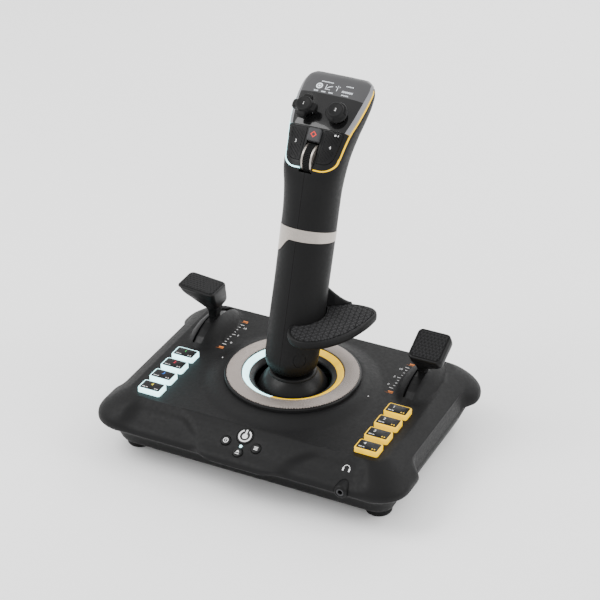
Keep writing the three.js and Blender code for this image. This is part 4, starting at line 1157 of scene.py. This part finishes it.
def build_screen_marks(cover, glass):
    """Plain lit signs on the screen: a dial, a path, bars and small dashes, with no words."""
    matrix = face_matrix(12, 14) @ Matrix.Translation((0, 12.5, 0))
    lit = printed("screen_light", "gloss_black_panel", (0.7, 0.74, 0.78), 0.4)
    dial = [*ring_parts(1.7, 2.7, x=-12.5, y=9), circle(1.0, 20, -12.5, 9)]
    graph = [box_outline(-6.8, 9, 0.4, 4.6), box_outline(-4.8, 6.8, 4, 0.4),
             [(-6, 7.4), (-3.8, 9.4), (-1.6, 10), (-1.6, 10.5), (-4, 9.9), (-6, 8)]]
    aerial = [box_outline(2.6, 8.8, 0.5, 3.6), box_outline(1.0, 10.8, 0.5, 0.9), box_outline(4.2, 10.8, 0.5, 0.9),
              box_outline(2.6, 11.6, 0.8, 0.5)]
    labels = [box_outline(-15 + 6.2 * i + 0.72 * j, 4.2, 0.44, 1.1) for i in range(3) for j in range(5)]
    stripes = [box_outline(7.4 + 0.75 * j, 7.4, 0.4, 1.7) for j in range(12)]
    top = [box_outline(-12 + 0.72 * j, 13.6, 0.42, 0.9) for j in range(14)]
    top += [box_outline(9 + 0.9 * j, 13, 0.5, 0.9) for j in range(7)]
    foot = [box_outline(8 + 0.75 * j, 4.2, 0.42, 1.0) for j in range(8)]
    marks = flat_mark("screen_marks", dial + graph + aerial + labels + stripes + top + foot, matrix, 0, 0.04)
    finish_piece(drape(marks, glass, matrix), "grip", lit)
    matrix = HATS @ Matrix.Translation((18, -3.6, 0))
    small = flat_mark("split_mark", [box_outline(-1.4, 0, 1.5, 1.4), box_outline(1, 0, 0.7, 1.4)], matrix, 0, 0.04)
    finish_piece(drape(small, cover, matrix), "grip", WHITE_INK)


# ---------- trigger ----------
def build_trigger():
    outline = [(56, 219), (56.6, 223.5), (58, 226.2), (60.5, 227), (63, 226.2), (65.5, 223.4), (68.5, 219.4),
               (71.6, 215.2), (74.6, 211.2), (77.4, 207.2), (79.8, 203), (81.8, 199), (83.4, 195.6), (83.2, 193.8),
               (81.8, 193.4), (80.2, 194.4), (77.8, 197.2), (74.8, 200.0), (71.2, 202.6), (67, 205), (62.6, 207.4),
               (58, 210.4)]
    loops = []
    for x, inset in ((-5.25, 0.9), (-5.0, 0.3), (-4.2, 0), (4.2, 0), (5.0, 0.3), (5.25, 0.9)):
        centre = np.mean(outline, axis=0)
        shrink = 1 - inset / 22
        loops.append([(x, *(centre + (np.array(p) - centre) * shrink)) for p in outline])
    finish_piece(flat_ended("finger_trigger", loops), "trigger", SILVER, ["trigger_blade"], angle=40)


# ---------- palm rest ----------
PALM_OUTLINE = [(6, -22), (12, -29.5), (21.5, -32.6), (31.5, -29), (41, -20.6), (50, -5.4), (54.6, 9),
                (57.2, 24), (56.8, 33), (52, 38.4), (43, 39.6), (30, 37.6), (16, 36), (2, 34), (2, 10)]


def smooth_outline(points, inset, count=180):
    """A closed centripetal curve through points, moved in by an inset."""
    closed = np.array(points + points[:3], float)
    out = []
    for i in range(len(points)):
        p0, p1, p2, p3 = closed[i:i + 4]
        t = np.cumsum([0] + [math.sqrt(np.linalg.norm(b - a)) for a, b in ((p0, p1), (p1, p2), (p2, p3))])
        for s in np.linspace(t[1], t[2], count // len(points), endpoint=False):
            a1 = (t[1] - s) / (t[1] - t[0]) * p0 + (s - t[0]) / (t[1] - t[0]) * p1
            a2 = (t[2] - s) / (t[2] - t[1]) * p1 + (s - t[1]) / (t[2] - t[1]) * p2
            a3 = (t[3] - s) / (t[3] - t[2]) * p2 + (s - t[2]) / (t[3] - t[2]) * p3
            b1 = (t[2] - s) / (t[2] - t[0]) * a1 + (s - t[0]) / (t[2] - t[0]) * a2
            b2 = (t[3] - s) / (t[3] - t[1]) * a2 + (s - t[1]) / (t[3] - t[1]) * a3
            out.append((t[2] - s) / (t[2] - t[1]) * b1 + (s - t[1]) / (t[2] - t[1]) * b2)
    out = np.array(out)
    tangent = np.roll(out, -1, axis=0) - np.roll(out, 1, axis=0)
    tangent /= np.linalg.norm(tangent, axis=1)[:, None]
    return out + np.stack([-tangent[:, 1], tangent[:, 0]], axis=1) * inset


def palm_loops(levels):
    return [[(x, y, z) for x, y in smooth_outline(PALM_OUTLINE, inset)] for inset, z in levels]


def build_palm_rest():
    wing = loft("palm_wing", palm_loops([(3.4, 97), (1.9, 97.1), (0.9, 97.6), (0.25, 98.6), (0, 99.8), (0, 102.4),
                                         (0.2, 103.4), (0.8, 104.0), (1.6, 104.2)]))
    pocket = loft("pocket", palm_loops([(2.3, 103.2), (2.3, 110)]))
    corner = prism("fin_corner", [(14, 21.3), (33, 35.2), (33, 45), (0, 45), (0, 21.3)], 90, 140)
    cut(pocket, corner)
    cut(wing, pocket)
    cut(wing, grip_form("grip_gap", -0.3, 96, 80))
    fin = []
    for i in range(25):
        u = i / 24
        x, y = 9 + 24.5 * u, 17.5 + 20 * u
        top = 104.4 + 33 * (1 - u) ** 1.4
        back = 4.6 - 1.2 * u
        back_x, back_y = x - 0.65 * back, y + 0.76 * back
        fin.append([(x, y, 99), (x, y, top - 1.2), (x - 0.3, y + 0.5, top - 0.3), (x - 0.9, y + 1.2, top),
                    (back_x + 0.5, back_y - 0.6, top), (back_x, back_y, top - 1), (back_x, back_y, 99)])
    web = loft("fin", fin)
    cut(web, grip_form("grip_gap", -0.3, 96, 80))
    finish_piece(joined("palm_rest_body", [wing, web]), "grip", PLASTIC, ["palm_rest"], angle=40)
    pad = loft("palm_pad", palm_loops([(2.6, 103.5), (2.6, 104.5), (2.75, 104.8), (3.3, 105)]))
    cut(pad, prism("fin_corner", [(14, 21.0), (33.3, 34.9), (33.3, 45), (0, 45), (0, 21.0)], 90, 140))
    cut(pad, grip_form("grip_gap", -1.2, 96, 80))
    finish_piece(pad, "grip", PALM_RUBBER, ["palm_rest_pad"], angle=30)


# ---------- throttle levers ----------
# Levels of a lever head: x, y, z, width, depth, corner radius, roll, pitch.
LEFT_HEAD = [(-93.3, 43.5, 58, 7, 11, 2, 0, 0), (-92.6, 42.5, 65, 9, 13, 2.5, 0, 0),
             (-91.4, 39.5, 72, 15, 19, 3, 0.04, 0), (-94, 35.8, 79.5, 23, 23, 3.5, 0.1, 0),
             (-97.8, 33.8, 86, 31, 25, 4, 0.1, 0), (-98.8, 33, 90.6, 33, 25.5, 4, 0.09, 0)]
RIGHT_HEAD = [(93.3, 43.5, 58, 7, 11, 2, 0, 0), (95, 41.5, 64, 10, 15, 2.5, 0, 0.2),
              (99.8, 38, 73, 20, 21.5, 3, 0, 0.35), (102.8, 35, 80.6, 27.5, 26.5, 3.5, 0, 0.43),
              (101.8, 33, 86.4, 27.5, 28, 4, 0, 0.47)]


def head_loop(level, inset=0.0, lift=0.0):
    x, y, z, wide, deep, radius, roll, pitch = level
    turn = Matrix.Rotation(pitch, 4, "X") @ Matrix.Rotation(roll, 4, "Y")
    matrix = Matrix.Translation((x, y, z)) @ turn
    outline = rounded_rectangle(wide - 2 * inset, deep - 2 * inset, max(radius - inset * 0.5, 0.8), 8)
    return [matrix @ Vector((px, py, lift)) for px, py in outline]


def build_lever(name, levels):
    table = through(levels, 26)
    loops = [head_loop(row) for row in table[:-1]]
    top = levels[-1]
    loops += [head_loop(top, inset, lift) for inset, lift in
              ((0, -1.2), (0.15, -0.5), (0.6, -0.08), (1.1, 0), (1.5, 0), (1.55, -0.75))]
    finish_piece(loft(f"{name}_lever_head", loops), f"throttle_{name}", SATIN, [f"throttle_head_{name}"], angle=60)
    pad = [head_loop(top, inset, lift) for inset, lift in
           ((1.9, -0.5), (1.9, 0.2), (2.2, 0.5), (3, 0.6), (6, 0.6))]
    finish_piece(loft(f"{name}_lever_pad", pad), f"throttle_{name}", LEVER_RUBBER, [f"throttle_pad_{name}"],
                 angle=40)


# ---------- CAD nodes that stay ----------
def dress_cad_nodes():
    finishes = {"throttle_arm_left": SATIN, "throttle_arm_right": SATIN, "throttle_axle_left": STEEL,
                "throttle_axle_right": STEEL, "gimbal_housing": STEEL, "gimbal_pitch_frame": STEEL,
                "gimbal_roll_cradle": STEEL, "trim_wheel_axle": STEEL, "hat_pivot_left": STEEL,
                "hat_pivot_right": STEEL, "usb_socket": STEEL, "main_board": BOARD}
    for name, material in finishes.items():
        node = frame["nodes"][name]
        node.data.materials.clear()
        node.data.materials.append(material[0])
        soften(node, 0.25)


# ---------- studio ----------
def area_light(name, place, target, size, power, colour=(1, 1, 1)):
    data = bpy.data.lights.new(name, "AREA")
    data.shape, data.size, data.size_y = "RECTANGLE", size[0], size[1]
    data.energy, data.color = power, colour
    light = bpy.data.objects.new(name, data)
    light.location = place
    light.rotation_euler = (Vector(target) - Vector(place)).to_track_quat("-Z", "Y").to_euler()
    bpy.context.scene.collection.objects.link(light)


def build_studio():
    floor = new_mesh("floor", [(-6000, -6000, FLOOR_Z), (6000, -6000, FLOOR_Z), (6000, 6000, FLOOR_Z),
                               (-6000, 6000, FLOOR_Z)], [(0, 1, 2, 3)])
    material = node_material("studio_floor", "floor", (0.96, 0.96, 0.96), 0.7)
    w = Wires(material)
    w.join(w.mix(w.ramp(w.noise(3, 2), 0.3, 0.7, 0, 1), (0.955, 0.955, 0.955), (0.97, 0.97, 0.97)),
           w.shader.inputs["Base Color"])
    floor.data.materials.append(material[0])
    world = bpy.data.worlds.new("studio")
    bpy.context.scene.world = world
    world.use_nodes = True
    world.node_tree.nodes["Background"].inputs["Color"].default_value = (1, 1, 1, 1)
    world.node_tree.nodes["Background"].inputs["Strength"].default_value = 1.5
    area_light("key_light", (-0.9, -0.5, 1.3), (0, 0, 0.1), (0.9, 0.9), 20)
    area_light("fill_light", (1.2, 0.3, 0.9), (0, 0, 0.1), (0.7, 1.1), 11)
    area_light("rim_light", (0.1, 1.3, 0.8), (0, 0, 0.15), (1.2, 0.5), 9)


build_base()
build_ring()
build_sockets()
for key_place in key_names():
    build_key(*key_place)
build_face_buttons()
build_plate_marks()
build_neck()
grip_shells()
build_head()
build_centre_button()
build_trim_wheel()
build_hats()
build_trigger()
build_palm_rest()
build_lever("left", LEFT_HEAD)
build_lever("right", RIGHT_HEAD)
dress_cad_nodes()
build_studio()
